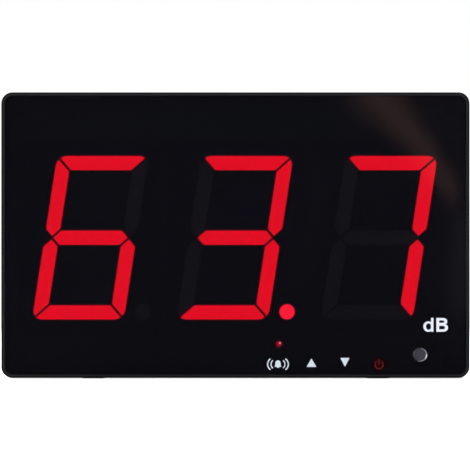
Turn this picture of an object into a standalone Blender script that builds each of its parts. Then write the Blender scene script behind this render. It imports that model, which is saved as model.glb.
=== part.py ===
"""Wall and desk sound level meter with a three-digit LED display.

Frame: +X to the right as the display is read, the display faces -Y, +Z is up.
The origin is under the middle of the casing, on the surface that its feet stand on.
Every shape is made in its own object's space, and a turning piece has its origin on its axis.
"""

import math

import bmesh
import bpy
from mathutils import Matrix, Vector

MM = 0.001
GAP = 0.3 * MM                   # clearance between pieces that touch
TINY = 0.001 * MM

# Casing
CASE_WIDTH = 216.8 * MM
CASE_HEIGHT = 132.2 * MM
CASE_DEPTH = 30.0 * MM
CORNER_RADIUS = 5.1 * MM
EDGE_ROUND = 0.8 * MM           # bevel along the outer front and back edges
FOOT_STAND = 0.3 * MM            # how far the feet stand out of the bottom edge
MID_Z = FOOT_STAND + CASE_HEIGHT / 2
FRONT_Y = -CASE_DEPTH / 2
BACK_Y = CASE_DEPTH / 2
WALL = 2.2 * MM
LIP = 1.4 * MM                   # width of the rim round the panel
PANEL_INSET = 0.2 * MM
PANEL_THICK = 2.0 * MM
TAPE_THICK = 0.4 * MM
LEDGE_WIDTH = 2.5 * MM
LEDGE_THICK = 1.5 * MM
PART_Y = 9.0 * MM                # where the two shells meet
TONGUE = 2.0 * MM                # how far the rear cover reaches into the front case
TONGUE_WALL = 1.5 * MM

PANEL_FRONT = FRONT_Y + PANEL_INSET
PANEL_BACK = PANEL_FRONT + PANEL_THICK
TAPE_FRONT = PANEL_BACK + GAP
TAPE_BACK = TAPE_FRONT + TAPE_THICK
LEDGE_FRONT = TAPE_BACK + GAP
LEDGE_BACK = LEDGE_FRONT + LEDGE_THICK
COVER_INNER = BACK_Y - WALL

# Display: digit outlines are drawn upright, then slanted
DIGIT_HEIGHT = 75.7 * MM
DIGIT_WIDTH = 42.4 * MM
DIGIT_PITCH = 66.9 * MM
DIGIT_SHIFT = -0.25 * MM         # middle digit from the casing's centre
DIGIT_DROP = 1.2 * MM            # digit centre below the casing's centre
SLANT = math.radians(8.75)
BAR = 6.5 * MM                   # thickness of a segment
DIGIT_CORNER = 4.6 * MM
MITRE_GAP = 1.1 * MM
WAIST_TIP = 0.9 * MM             # height of the upright bars' points above the middle
MIDDLE_TIP = 17.2 * MM           # half length of the middle bar
DOT_RADIUS = 3.5 * MM
DOT_AT = (29.45 * MM, -34.35 * MM)
HOUSING_WIDTH = 66.6 * MM
HOUSING_HEIGHT = 90.0 * MM
HOUSING_WALL = 1.2 * MM
DIGIT_FRONT = -12.2 * MM
DIGIT_BACK = -6.0 * MM
DIFFUSER_FRONT = -8.9 * MM       # front of the plate that carries the raised segments
DIFFUSER_BACK = -7.7 * MM
SEGMENT_CLEARANCE = 0.2 * MM

# Circuit board
BOARD_FRONT = -5.7 * MM
BOARD_BACK = -4.1 * MM
BOARD_WIDTH = 208.0 * MM
BOARD_HEIGHT = 123.4 * MM
BEHIND_BOARD = BOARD_BACK + GAP
BOARD_SCREW_AT = (75.5 * MM, 54.0 * MM)
BOSS_RADIUS = 3.0 * MM

# Small pieces on the front, measured from the casing's centre
MICROPHONE_AT = (85.7 * MM, -55.4 * MM)
ALARM_AT = (20.2 * MM, -50.4 * MM)
KEY_XS = [19.7 * MM, 35.2 * MM, 50.7 * MM, 66.5 * MM]
KEY_Z = -59.4 * MM
MESH_RADIUS = 3.25 * MM
ALARM_RADIUS = 1.5 * MM

# Case screws
POST_AT = (101.8 * MM, 59.4 * MM)
POST_RADIUS = 4.9 * MM
TUBE_RADIUS = 3.6 * MM
POST_TOP = 6.7 * MM

# Battery bay
BAY_Z = 94.0 * MM
BAY_WIDTH = 60.4 * MM
BAY_HEIGHT = 61.0 * MM
BAY_FLOOR = -2.2 * MM
BAY_WALL = 1.6 * MM
REBATE_WIDTH = 65.6 * MM
REBATE_HEIGHT = 65.2 * MM
REBATE_Y = 12.4 * MM
CELL_RADIUS = 7.1 * MM
CELL_LENGTH = 50.5 * MM
CELL_PITCH = 14.5 * MM
CELL_Y = 5.2 * MM
CELL_COUNT = 4
NUB_LENGTH = 1.0 * MM
CONTACT_X = 29.9 * MM            # outer face of a contact plate
CONTACT_THICK = 0.6 * MM

# Battery door
DOOR_THICK = 2.0 * MM
DOOR_Y = REBATE_Y + GAP + DOOR_THICK / 2
DOOR_HINGE_Z = BAY_Z - REBATE_HEIGHT / 2 + GAP + DOOR_THICK / 2
PINTLE_RADIUS = 0.7 * MM
PINTLE_LENGTH = 1.5 * MM

# Desk stand
STAND_HINGE_Y = 12.8 * MM
STAND_HINGE_Z = 57.0 * MM
STAND_LENGTH = 55.0 * MM
STAND_WIDTH = 39.2 * MM
STAND_THICK = 2.6 * MM
STAND_BARREL = 2.0 * MM
RECESS_WIDTH = 40.0 * MM
RECESS_FLOOR = 10.4 * MM
RECESS_TOP = STAND_HINGE_Z + STAND_BARREL + 2 * GAP
PIN_RADIUS = 1.0 * MM
PIN_HOLE = 1.25 * MM
PIN_SPAN = (16.0 * MM, 22.2 * MM)

# Back and sides
KEYHOLE_AT = (75.0 * MM, 104.0 * MM)
KEYHOLE_ENTRY = 4.0 * MM
KEYHOLE_SLOT = 2.1 * MM
KEYHOLE_RISE = 8.0 * MM
SLOT_SIZE = (1.4 * MM, 12.0 * MM)
SLOT_PITCH = 3.4 * MM
SOUND_AT = (60.0 * MM, 34.0 * MM)
JACK_AT = (1.2 * MM, 40.0 * MM)
FOOT_X = 66.0 * MM
FOOT_SIZE = (10.0 * MM, 18.0 * MM, 1.2 * MM)

# Finish: colour, roughness, metallic
FINISHES = {
    "black_plastic": ((0.012, 0.012, 0.013), 0.42, 0.0),
    "tinted_panel": ((0.005, 0.005, 0.008), 0.06, 0.0),
    "tape": ((0.02, 0.02, 0.02), 0.9, 0.0),
    "rubber": ((0.02, 0.02, 0.02), 0.8, 0.0),
    "display_black": ((0.01, 0.01, 0.012), 0.6, 0.0),
    "diffuser": ((0.75, 0.01, 0.02), 0.5, 0.0),
    "led_red": ((0.5, 0.02, 0.04), 0.15, 0.0),
    "steel": ((0.55, 0.55, 0.57), 0.3, 1.0),
    "nickel": ((0.62, 0.6, 0.56), 0.25, 1.0),
    "board": ((0.02, 0.12, 0.05), 0.5, 0.0),
    "chip": ((0.015, 0.015, 0.016), 0.55, 0.0),
    "ivory_plastic": ((0.75, 0.72, 0.62), 0.5, 0.0),
    "foam": ((0.05, 0.05, 0.05), 0.95, 0.0),
    "cell_wrap": ((0.03, 0.09, 0.2), 0.35, 0.0),
}


# Shapes

def slab(width, height, y_front, y_back, centre=(0.0, 0.0), radius=0.0, segments=5, edges=(0.0, 0.0)):
    """A block seen from the front, with round corners and optional front and back edge bevels."""
    bm = bmesh.new()
    bmesh.ops.create_cube(bm, size=1.0)
    bmesh.ops.scale(bm, vec=(width, y_back - y_front, height), verts=bm.verts)
    bmesh.ops.translate(bm, vec=(centre[0], (y_front + y_back) / 2, centre[1]), verts=bm.verts)
    if radius:
        corners = [e for e in bm.edges if abs(e.verts[0].co.y - e.verts[1].co.y) > TINY]
        bmesh.ops.bevel(bm, geom=corners, offset=radius, segments=segments, profile=0.5, affect="EDGES")
    for y, bevel in zip((y_front, y_back), edges):
        if bevel:
            rim = [e for e in bm.edges if all(abs(v.co.y - y) < TINY for v in e.verts)]
            bmesh.ops.bevel(bm, geom=rim, offset=bevel, segments=3, profile=0.5, affect="EDGES")
    return bm


def block(low, high):
    """A plain block between two corners."""
    size = Vector(high) - Vector(low)
    middle = (Vector(high) + Vector(low)) / 2
    bm = bmesh.new()
    bmesh.ops.create_cube(bm, size=1.0)
    bmesh.ops.scale(bm, vec=size, verts=bm.verts)
    bmesh.ops.translate(bm, vec=middle, verts=bm.verts)
    return bm


def rod(radius, axis, start, end, at=(0.0, 0.0), end_radius=None, segments=20):
    """A round bar along X or Y; `at` gives its other two coordinates in X, Y, Z order."""
    bm = bmesh.new()
    last = radius if end_radius is None else end_radius
    bmesh.ops.create_cone(bm, cap_ends=True, segments=segments, radius1=radius, radius2=last, depth=end - start)
    middle = (start + end) / 2
    if axis == "X":
        turn = Matrix.Rotation(math.radians(90), 4, "Y")
        place = Vector((middle, at[0], at[1]))
    else:
        turn = Matrix.Rotation(math.radians(-90), 4, "X")
        place = Vector((at[0], middle, at[1]))
    bmesh.ops.transform(bm, matrix=Matrix.Translation(place) @ turn, verts=bm.verts)
    return bm


def prism(outline, y_front, y_back):
    """An outline of (x, z) points, extruded from front to back."""
    bm = bmesh.new()
    front = bm.faces.new([bm.verts.new((x, y_front, z)) for x, z in outline])
    grown = bmesh.ops.extrude_face_region(bm, geom=[front])
    moved = [v for v in grown["geom"] if isinstance(v, bmesh.types.BMVert)]
    bmesh.ops.translate(bm, vec=(0.0, y_back - y_front, 0.0), verts=moved)
    bmesh.ops.recalc_face_normals(bm, faces=bm.faces)
    return bm


def turned(profile, at=(0.0, 0.0), segments=20):
    """A solid turned about a line along Y, from (radius, y) points that start and end on the line."""
    bm = bmesh.new()
    verts = [bm.verts.new((radius + at[0], y, at[1])) for radius, y in profile]
    edges = [bm.edges.new(pair) for pair in zip(verts, verts[1:])]
    bmesh.ops.spin(bm, geom=verts + edges, cent=(at[0], 0.0, at[1]), axis=(0.0, 1.0, 0.0),
                   angle=math.tau, steps=segments, use_merge=True)
    bmesh.ops.remove_doubles(bm, verts=bm.verts, dist=TINY)
    bmesh.ops.recalc_face_normals(bm, faces=bm.faces)
    return bm


# Objects

def mesh_object(name, shapes):
    """Put shapes into one mesh object."""
    mesh = bpy.data.meshes.new(name)
    whole = bmesh.new()
    for shape in shapes:
        shape.to_mesh(mesh)
        whole.from_mesh(mesh)
        shape.free()
    whole.to_mesh(mesh)
    whole.free()
    obj = bpy.data.objects.new(name, mesh)
    bpy.context.scene.collection.objects.link(obj)
    return obj


def make(name, finish, shape, location=(0.0, 0.0, 0.0)):
    """Make a named piece with its own material."""
    obj = mesh_object(name, [shape])
    obj.location = location
    obj.data.shade_smooth()
    obj.data.set_sharp_from_angle(angle=math.radians(30))
    colour, roughness, metallic = FINISHES[finish]
    material = bpy.data.materials.new(f"{name}_{finish}")
    material.use_nodes = True
    shader = material.node_tree.nodes["Principled BSDF"]
    shader.inputs["Base Color"].default_value = (*colour, 1.0)
    shader.inputs["Roughness"].default_value = roughness
    shader.inputs["Metallic"].default_value = metallic
    obj.data.materials.append(material)
    return obj


def combine(target, operation, shapes):
    """Join shapes to a piece, or cut them from it; the shapes must not touch each other."""
    tool = mesh_object(f"{target.name}_{operation.lower()}_{len(target.modifiers)}", shapes)
    tool.hide_render = True
    tool.display_type = "WIRE"
    tool.parent = target
    modifier = target.modifiers.new(tool.name, "BOOLEAN")
    modifier.operation = operation
    modifier.solver = "EXACT"
    modifier.object = tool


def join(target, *shapes):
    combine(target, "UNION", shapes)


def cut(target, *shapes):
    combine(target, "DIFFERENCE", shapes)


def four_corners(at):
    """The four places that mirror (x, z) about the casing's centre."""
    return [(side * at[0], MID_Z + level * at[1]) for side in (-1, 1) for level in (-1, 1)]


# Casing

def make_front_case():
    """Front shell: the rim and ledge for the panel, four screw posts and four board bosses."""
    centre = (0.0, MID_Z)
    case = make("front_case", "black_plastic",
                slab(CASE_WIDTH, CASE_HEIGHT, FRONT_Y, PART_Y, centre, CORNER_RADIUS, 16, (EDGE_ROUND, 0.0)))
    pocket_width = CASE_WIDTH - 2 * LIP
    pocket_height = CASE_HEIGHT - 2 * LIP
    cut(case, slab(pocket_width, pocket_height, FRONT_Y - WALL, LEDGE_FRONT, centre, CORNER_RADIUS - LIP, 10))
    cut(case, slab(pocket_width - 2 * LEDGE_WIDTH, pocket_height - 2 * LEDGE_WIDTH,
                   LEDGE_FRONT - WALL, LEDGE_BACK + WALL, centre, 1.5 * MM))
    cut(case, slab(CASE_WIDTH - 2 * WALL, CASE_HEIGHT - 2 * WALL, LEDGE_BACK, PART_Y + WALL,
                   centre, CORNER_RADIUS - WALL))
    post_start = LEDGE_BACK - LEDGE_THICK / 2
    join(case, *[rod(POST_RADIUS, "Y", post_start, POST_TOP, at) for at in four_corners(POST_AT)])
    add_board_bosses(case, post_start)
    cut(case, *[rod(1.6 * MM, "Y", -4.0 * MM, POST_TOP + WALL, at) for at in four_corners(POST_AT)])
    cut(case, *[rod(1.5 * MM, "Y", LEDGE_BACK, BOARD_FRONT, at) for at in four_corners(BOARD_SCREW_AT)])
    cut(case, *[foot_shape(side * FOOT_X, GAP) for side in (-1, 1)])
    cut(case, rod(4.6 * MM, "X", CASE_WIDTH / 2 - 2 * WALL, CASE_WIDTH / 2 + WALL, JACK_AT, segments=32))


def add_board_bosses(case, start):
    """Four bosses for the circuit board, each on a rib from the nearest long wall."""
    end = BOARD_FRONT - GAP
    half_rib = 1.0 * MM
    wall_z = CASE_HEIGHT / 2 - WALL / 2
    ribs = []
    for x, z in four_corners(BOARD_SCREW_AT):
        low, high = sorted((z, MID_Z + math.copysign(wall_z, z - MID_Z)))
        ribs.append(block((x - half_rib, start, low), (x + half_rib, end - GAP, high)))
    join(case, *ribs)
    join(case, *[rod(BOSS_RADIUS, "Y", start, end, at) for at in four_corners(BOARD_SCREW_AT)])


def foot_shape(x, clearance=0.0):
    """A foot, or its recess when it is given a clearance."""
    half_x = FOOT_SIZE[0] / 2 + clearance
    half_y = FOOT_SIZE[1] / 2 + clearance
    low_z = -clearance
    middle_y = -2.0 * MM
    return block((x - half_x, middle_y - half_y, low_z),
                 (x + half_x, middle_y + half_y, FOOT_SIZE[2] + clearance))


def make_feet():
    for name, side in (("foot_left", -1), ("foot_right", 1)):
        make(name, "rubber", foot_shape(side * FOOT_X))


def make_rear_cover():
    """Rear shell: battery bay, stand recess, keyholes, slots and screw tubes."""
    centre = (0.0, MID_Z)
    cover = make("rear_cover", "black_plastic",
                 slab(CASE_WIDTH, CASE_HEIGHT, PART_Y + GAP, BACK_Y, centre, CORNER_RADIUS, 16, (0.0, EDGE_ROUND)))
    tongue_width = CASE_WIDTH - 2 * (WALL + GAP)
    tongue_height = CASE_HEIGHT - 2 * (WALL + GAP)
    tongue_radius = CORNER_RADIUS - WALL - GAP
    tongue_front = PART_Y + GAP - TONGUE
    join(cover, slab(tongue_width, tongue_height, tongue_front, PART_Y + 1.0 * MM, centre, tongue_radius))
    cut(cover, slab(tongue_width - 2 * TONGUE_WALL, tongue_height - 2 * TONGUE_WALL,
                    tongue_front - WALL, COVER_INNER, centre, 1.1 * MM))
    tube_front = POST_TOP + GAP
    join(cover, *[rod(TUBE_RADIUS, "Y", tube_front, COVER_INNER + 1.0 * MM, at) for at in four_corners(POST_AT)])
    add_battery_bay(cover)
    add_stand_recess(cover)
    cut(cover, *[rod(1.7 * MM, "Y", tube_front - WALL, BACK_Y + WALL, at) for at in four_corners(POST_AT)])
    cut(cover, *[rod(3.1 * MM, "Y", 9.8 * MM, BACK_Y + WALL, at) for at in four_corners(POST_AT)])
    cut(cover, *[prism(keyhole_outline(side), COVER_INNER - WALL, BACK_Y + WALL) for side in (-1, 1)])
    cut(cover, *slots(1), *slots(-1))


def add_battery_bay(cover):
    """A box for the cells, open to the back, with a rebate that the door lies in."""
    centre = (0.0, BAY_Z)
    join(cover, slab(BAY_WIDTH + 2 * BAY_WALL, BAY_HEIGHT + 2 * BAY_WALL, BAY_FLOOR - 1.2 * MM,
                     COVER_INNER + 0.5 * MM, centre))
    join(cover, slab(REBATE_WIDTH + 6.4 * MM, REBATE_HEIGHT + 3.0 * MM, REBATE_Y - 1.6 * MM,
                     BACK_Y - 0.4 * MM, centre))
    cut(cover, slab(BAY_WIDTH, BAY_HEIGHT, BAY_FLOOR, BACK_Y + WALL, centre, 0.6 * MM, 2))
    cut(cover, slab(REBATE_WIDTH, REBATE_HEIGHT, REBATE_Y, BACK_Y + WALL, centre))
    reach = REBATE_WIDTH / 2 + 1.8 * MM
    cut(cover, rod(PINTLE_RADIUS + 0.25 * MM, "X", -reach, reach, (DOOR_Y, DOOR_HINGE_Z), segments=16))


def add_stand_recess(cover):
    """A box that holds the folded stand, open to the back and at the bottom edge."""
    half_width = RECESS_WIDTH / 2
    side_wall = 3.5 * MM
    bottom = FOOT_STAND + WALL / 2
    join(cover, block((-half_width - side_wall, RECESS_FLOOR - 1.4 * MM, bottom),
                      (half_width + side_wall, COVER_INNER + 1.0 * MM, RECESS_TOP + 1.5 * MM)))
    cut(cover, block((-half_width, RECESS_FLOOR, -WALL), (half_width, BACK_Y + WALL, RECESS_TOP)))
    reach = PIN_SPAN[1] + GAP
    cut(cover, rod(PIN_HOLE, "X", -reach, reach, (STAND_HINGE_Y, STAND_HINGE_Z), segments=16))


def keyhole_outline(side):
    """A round entry with a narrower slot above it, for hanging on a screw."""
    middle_x = side * KEYHOLE_AT[0]
    middle_z = KEYHOLE_AT[1]
    mouth = math.asin(KEYHOLE_SLOT / KEYHOLE_ENTRY)
    start = math.pi / 2 + mouth
    sweep = math.tau - 2 * mouth
    steps = 18
    points = []
    for step in range(steps + 1):
        angle = start + sweep * step / steps
        points.append((middle_x + KEYHOLE_ENTRY * math.cos(angle), middle_z + KEYHOLE_ENTRY * math.sin(angle)))
    steps = 8
    for step in range(steps + 1):
        angle = math.pi * step / steps
        points.append((middle_x + KEYHOLE_SLOT * math.cos(angle),
                       middle_z + KEYHOLE_RISE + KEYHOLE_SLOT * math.sin(angle)))
    return points


def slots(side, count=5):
    """A row of upright slots through the rear cover."""
    width, height = SLOT_SIZE
    shapes = []
    for step in range(count):
        x = side * SOUND_AT[0] + (step - (count - 1) / 2) * SLOT_PITCH
        shapes.append(slab(width, height, COVER_INNER - WALL, BACK_Y + WALL, (x, SOUND_AT[1]), 0.6 * MM, 3))
    return shapes


def make_case_screws():
    """Four screws that hold the rear cover to the posts of the front case."""
    head_seat = 9.8 * MM + GAP
    head_end = head_seat + 2.2 * MM
    for number, at in enumerate(four_corners(POST_AT), 1):
        screw = make(f"case_screw_{number}", "steel",
                     turned([(0.0, -3.0 * MM), (1.3 * MM, -2.0 * MM), (1.3 * MM, head_seat), (2.7 * MM, head_seat),
                             (2.7 * MM, head_end - 0.6 * MM), (2.1 * MM, head_end), (0.0, head_end)], at))
        add_cross_recess(screw, at, head_end)


def add_cross_recess(screw, at, head_end):
    """The cross in a screw's head."""
    half = 1.3 * MM
    slot = 0.3 * MM
    deep = head_end - 1.0 * MM
    cut(screw, block((at[0] - half, deep, at[1] - slot), (at[0] + half, head_end + 1.0 * MM, at[1] + slot)))
    cut(screw, block((at[0] - slot, deep, at[1] - half), (at[0] + slot, head_end + 1.0 * MM, at[1] + half)))


# Front panel and what shows in it

def make_front_panel():
    """Tinted panel with a hole for the microphone and one for the alarm LED."""
    width = CASE_WIDTH - 2 * (LIP + GAP)
    height = CASE_HEIGHT - 2 * (LIP + GAP)
    radius = CORNER_RADIUS - LIP - GAP
    centre = (0.0, MID_Z)
    panel = make("front_panel", "tinted_panel",
                 slab(width, height, PANEL_FRONT, PANEL_BACK, centre, radius, 10, (0.25 * MM, 0.0)))
    for hole, at in ((MESH_RADIUS + GAP, MICROPHONE_AT), (ALARM_RADIUS + GAP, ALARM_AT)):
        cut(panel, rod(hole, "Y", PANEL_FRONT - WALL, PANEL_BACK + WALL, above_centre(at), segments=32))
    tape = make("panel_tape", "tape", slab(width, height, TAPE_FRONT, TAPE_BACK, centre, radius))
    band = LEDGE_WIDTH - 2 * GAP
    cut(tape, slab(width - 2 * band, height - 2 * band, TAPE_FRONT - WALL, TAPE_BACK + WALL, centre, 1.2 * MM))


def above_centre(at):
    """A place given from the casing's centre, as (x, z) of the frame."""
    return (at[0], MID_Z + at[1])


def make_microphone():
    """Electret capsule in a rubber boot, behind a mesh disc that sits in the panel's hole."""
    at = above_centre(MICROPHONE_AT)
    mesh_front = PANEL_FRONT + GAP
    make("microphone_mesh", "steel", rod(MESH_RADIUS, "Y", mesh_front, mesh_front + 0.6 * MM, at))
    capsule_front = mesh_front + 1.0 * MM
    make("microphone_capsule", "nickel", rod(3.1 * MM, "Y", capsule_front, BOARD_FRONT - 2 * GAP, at))
    boot = make("microphone_boot", "rubber", rod(4.8 * MM, "Y", PANEL_BACK + GAP, BOARD_FRONT - GAP, at))
    cut(boot, rod(3.4 * MM, "Y", PANEL_BACK - WALL, BOARD_FRONT + WALL, at))


def make_alarm_led():
    """Round LED: a domed lens with a flange, standing on two leads."""
    at = above_centre(ALARM_AT)
    tip = FRONT_Y + 0.1 * MM
    shoulder = tip + ALARM_RADIUS
    base = -8.5 * MM
    steps = 5
    dome = []
    for step in range(steps + 1):
        angle = math.pi / 2 * step / steps
        dome.append((ALARM_RADIUS * math.sin(angle), shoulder - ALARM_RADIUS * math.cos(angle)))
    flange = [(ALARM_RADIUS, base - 1.0 * MM), (1.9 * MM, base - 1.0 * MM), (1.9 * MM, base), (0.0, base)]
    led = make("alarm_led", "led_red", turned(dome + flange, at))
    thin = 0.25 * MM
    spread = 0.9 * MM
    leads = [block((at[0] + side * spread - thin, base - thin, at[1] - thin),
                   (at[0] + side * spread + thin, BOARD_FRONT - GAP, at[1] + thin)) for side in (-1, 1)]
    join(led, *leads)


def make_touch_electrodes():
    """Conductive foam pillars that carry the four touch keys from the board to the panel."""
    for number, x in enumerate(KEY_XS, 1):
        make(f"touch_electrode_{number}", "foam",
             rod(2.2 * MM, "Y", PANEL_BACK + GAP, BOARD_FRONT - GAP, above_centre((x, KEY_Z)), 2.0 * MM))


# Digits

def slanted(points):
    """Lean an upright outline to the right."""
    lean = math.tan(SLANT)
    return [(x + lean * z, z) for x, z in points]


def arc(centre, radius, start, end, steps=4):
    """Points on an arc, angles in radians."""
    angles = [start + (end - start) * step / steps for step in range(steps + 1)]
    return [(centre[0] + radius * math.cos(a), centre[1] + radius * math.sin(a)) for a in angles]


def top_bar(grow):
    """The top segment; its ends are mitred and follow the digit's round corners."""
    corner_x = DIGIT_WIDTH / 2 - DIGIT_CORNER
    corner_z = DIGIT_HEIGHT / 2 - DIGIT_CORNER
    radius = DIGIT_CORNER + grow
    half_gap = MITRE_GAP / 2 - grow
    start = math.pi / 4 + math.asin(half_gap / radius)
    outer = arc((corner_x, corner_z), radius, start, math.pi / 2)
    inner_z = DIGIT_HEIGHT / 2 - BAR - grow
    inner_x = corner_x + inner_z - corner_z - half_gap * math.sqrt(2)
    right = [(inner_x, inner_z)] + outer
    return right + [(-x, z) for x, z in reversed(right)]


def upper_right_bar(grow):
    """The upper right segment: mitred at the top, pointed at the digit's waist."""
    corner_x = DIGIT_WIDTH / 2 - DIGIT_CORNER
    corner_z = DIGIT_HEIGHT / 2 - DIGIT_CORNER
    radius = DIGIT_CORNER + grow
    half_gap = MITRE_GAP / 2 - grow
    end = math.pi / 4 - math.asin(half_gap / radius)
    inner_x = DIGIT_WIDTH / 2 - BAR - grow
    outer_x = DIGIT_WIDTH / 2 + grow
    tip_z = WAIST_TIP - grow * math.sqrt(2)
    chamfer = BAR / 2 + grow
    top_inner = (inner_x, corner_z + inner_x - corner_x - half_gap * math.sqrt(2))
    waist = [(inner_x, tip_z + chamfer), ((inner_x + outer_x) / 2, tip_z), (outer_x, tip_z + chamfer)]
    return [top_inner] + waist + arc((corner_x, corner_z), radius, 0.0, end)


def middle_bar(grow):
    """The middle segment, pointed at both ends."""
    half = BAR / 2 + grow
    tip = MIDDLE_TIP + grow * math.sqrt(2)
    return [(tip, 0.0), (tip - half, half), (half - tip, half), (-tip, 0.0), (half - tip, -half), (tip - half, -half)]


def digit_shapes(y_front, y_back, grow):
    """The seven segments and the decimal point, each made larger all round by `grow`."""
    top = top_bar(grow)
    upper_right = upper_right_bar(grow)
    outlines = [top, upper_right, middle_bar(grow)]
    outlines.append([(x, -z) for x, z in top])
    outlines.append([(x, -z) for x, z in upper_right])
    outlines.append([(-x, z) for x, z in upper_right])
    outlines.append([(-x, -z) for x, z in upper_right])
    shapes = [prism(slanted(outline), y_front, y_back) for outline in outlines]
    dot_x = DOT_AT[0] + math.tan(SLANT) * DOT_AT[1]
    shapes.append(rod(DOT_RADIUS + grow, "Y", y_front, y_back, (dot_x, DOT_AT[1])))
    return shapes


def make_digits():
    """Three display modules: a black shell with apertures, and a diffuser whose segments fill them."""
    for number in (1, 2, 3):
        location = (DIGIT_SHIFT + (number - 2) * DIGIT_PITCH, 0.0, MID_Z - DIGIT_DROP)
        housing = make(f"digit_{number}_housing", "display_black",
                       slab(HOUSING_WIDTH, HOUSING_HEIGHT, DIGIT_FRONT, DIGIT_BACK, radius=1.0 * MM, segments=2),
                       location)
        inner_width = HOUSING_WIDTH - 2 * HOUSING_WALL
        inner_height = HOUSING_HEIGHT - 2 * HOUSING_WALL
        cut(housing, slab(inner_width, inner_height, DIFFUSER_FRONT - GAP, DIGIT_BACK + WALL))
        cut(housing, *digit_shapes(DIGIT_FRONT - WALL, DIGIT_BACK, SEGMENT_CLEARANCE))
        diffuser = make(f"digit_{number}_diffuser", "diffuser",
                        slab(inner_width - 2 * GAP, inner_height - 2 * GAP, DIFFUSER_FRONT, DIFFUSER_BACK),
                        location)
        join(diffuser, *digit_shapes(DIGIT_FRONT, DIFFUSER_FRONT + GAP, 0.0))


# Inside

def make_main_board():
    """Circuit board, notched round the case posts, with a hole for each of its screws."""
    board = make("main_board", "board",
                 slab(BOARD_WIDTH, BOARD_HEIGHT, BOARD_FRONT, BOARD_BACK, (0.0, MID_Z), 1.0 * MM, 2))
    cut(board, *[rod(POST_RADIUS + 0.5 * MM, "Y", BOARD_FRONT - WALL, BOARD_BACK + WALL, at)
                 for at in four_corners(POST_AT)])
    cut(board, *[rod(1.6 * MM, "Y", BOARD_FRONT - WALL, BOARD_BACK + WALL, at)
                 for at in four_corners(BOARD_SCREW_AT)])
    head_end = BEHIND_BOARD + 1.6 * MM
    for number, at in enumerate(four_corners(BOARD_SCREW_AT), 1):
        screw = make(f"board_screw_{number}", "steel",
                     turned([(0.0, -9.6 * MM), (1.15 * MM, -9.0 * MM), (1.15 * MM, BEHIND_BOARD),
                             (2.6 * MM, BEHIND_BOARD), (2.6 * MM, head_end - 0.5 * MM), (2.0 * MM, head_end),
                             (0.0, head_end)], at))
        add_cross_recess(screw, at, head_end)


def make_components():
    """What stands on the back of the board."""
    tall = BEHIND_BOARD
    make("microcontroller", "chip", slab(12 * MM, 12 * MM, tall, tall + 1.6 * MM, (-60 * MM, 66 * MM), 0.5 * MM, 2))
    make("led_driver", "chip", slab(15 * MM, 8 * MM, tall, tall + 2.2 * MM, (60 * MM, 78 * MM), 0.5 * MM, 2))
    make("capacitor", "cell_wrap", rod(4.0 * MM, "Y", tall, tall + 10 * MM, (60 * MM, 100 * MM)))
    buzzer = make("buzzer", "chip", rod(6.0 * MM, "Y", tall, tall + 8.0 * MM, SOUND_AT))
    cut(buzzer, rod(1.2 * MM, "Y", tall + 6.0 * MM, tall + 9.0 * MM, SOUND_AT))
    plug = make("battery_connector", "ivory_plastic",
                slab(8 * MM, 6 * MM, tall, tall + 6 * MM, (-46 * MM, 94 * MM), 0.4 * MM, 2))
    cut(plug, *[rod(0.7 * MM, "Y", tall + 3 * MM, tall + 7 * MM, (-46 * MM + side * 2 * MM, 94 * MM))
                for side in (-1, 1)])


def make_power_jack():
    """Supply socket at the right-hand side: a body on the board, a nose in the wall, a centre pin."""
    y, z = JACK_AT
    mouth = CASE_WIDTH / 2 - GAP
    body_end = CASE_WIDTH / 2 - WALL - GAP
    body_start = body_end - 13.5 * MM
    half = 5.0 * MM
    jack = make("power_jack", "chip", block((body_start, BEHIND_BOARD, z - half), (body_end, y + half, z + half)))
    join(jack, rod(4.2 * MM, "X", body_end - 1.0 * MM, mouth, JACK_AT, segments=32))
    floor = body_start + 4.0 * MM
    cut(jack, rod(3.1 * MM, "X", floor, mouth + 1.0 * MM, JACK_AT, segments=32))
    join(jack, rod(0.9 * MM, "X", floor - 1.0 * MM, mouth - 1.0 * MM, JACK_AT, segments=12))


# Batteries

def cell_z(index):
    """Height of a cell's axis; the first cell is the top one."""
    return BAY_Z + ((CELL_COUNT - 1) / 2 - index) * CELL_PITCH


def cell_side(index):
    """Which way a cell's positive end points: the cells alternate."""
    return 1 if index % 2 == 0 else -1


def make_cells():
    """Four AA cells side by side, each with its raised positive nub."""
    half = CELL_LENGTH / 2
    for index in range(CELL_COUNT):
        side = cell_side(index)
        at = (CELL_Y, cell_z(index))
        shoulder = side * (half - NUB_LENGTH)
        cell = make(f"battery_cell_{index + 1}", "cell_wrap",
                    rod(CELL_RADIUS, "X", min(-side * half, shoulder), max(-side * half, shoulder), at))
        nub = sorted((shoulder - side * 0.5 * MM, side * half))
        join(cell, rod(2.7 * MM, "X", nub[0], nub[1], at, segments=16))


def make_contact(name, side, indices):
    """A contact plate on one end wall, with a stud for a positive end and a cone for a negative one."""
    heights = [cell_z(index) for index in indices]
    half_plate = 4.5 * MM
    inner = CONTACT_X - CONTACT_THICK
    low_x, high_x = sorted((side * inner, side * CONTACT_X))
    plate = make(name, "nickel", block((low_x, CELL_Y - half_plate, min(heights) - half_plate),
                                       (high_x, CELL_Y + half_plate, max(heights) + half_plate)))
    tip = CELL_LENGTH / 2 + GAP
    studs = []
    for index in indices:
        positive = cell_side(index) == side
        near, far = (2.2 * MM, 2.0 * MM) if positive else (3.4 * MM, 1.9 * MM)
        start, end = sorted((side * tip, side * (inner + CONTACT_THICK / 2)))
        first, last = (far, near) if side > 0 else (near, far)
        studs.append(rod(first, "X", start, end, (CELL_Y, cell_z(index)), last, 14))
    join(plate, *studs)


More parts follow.
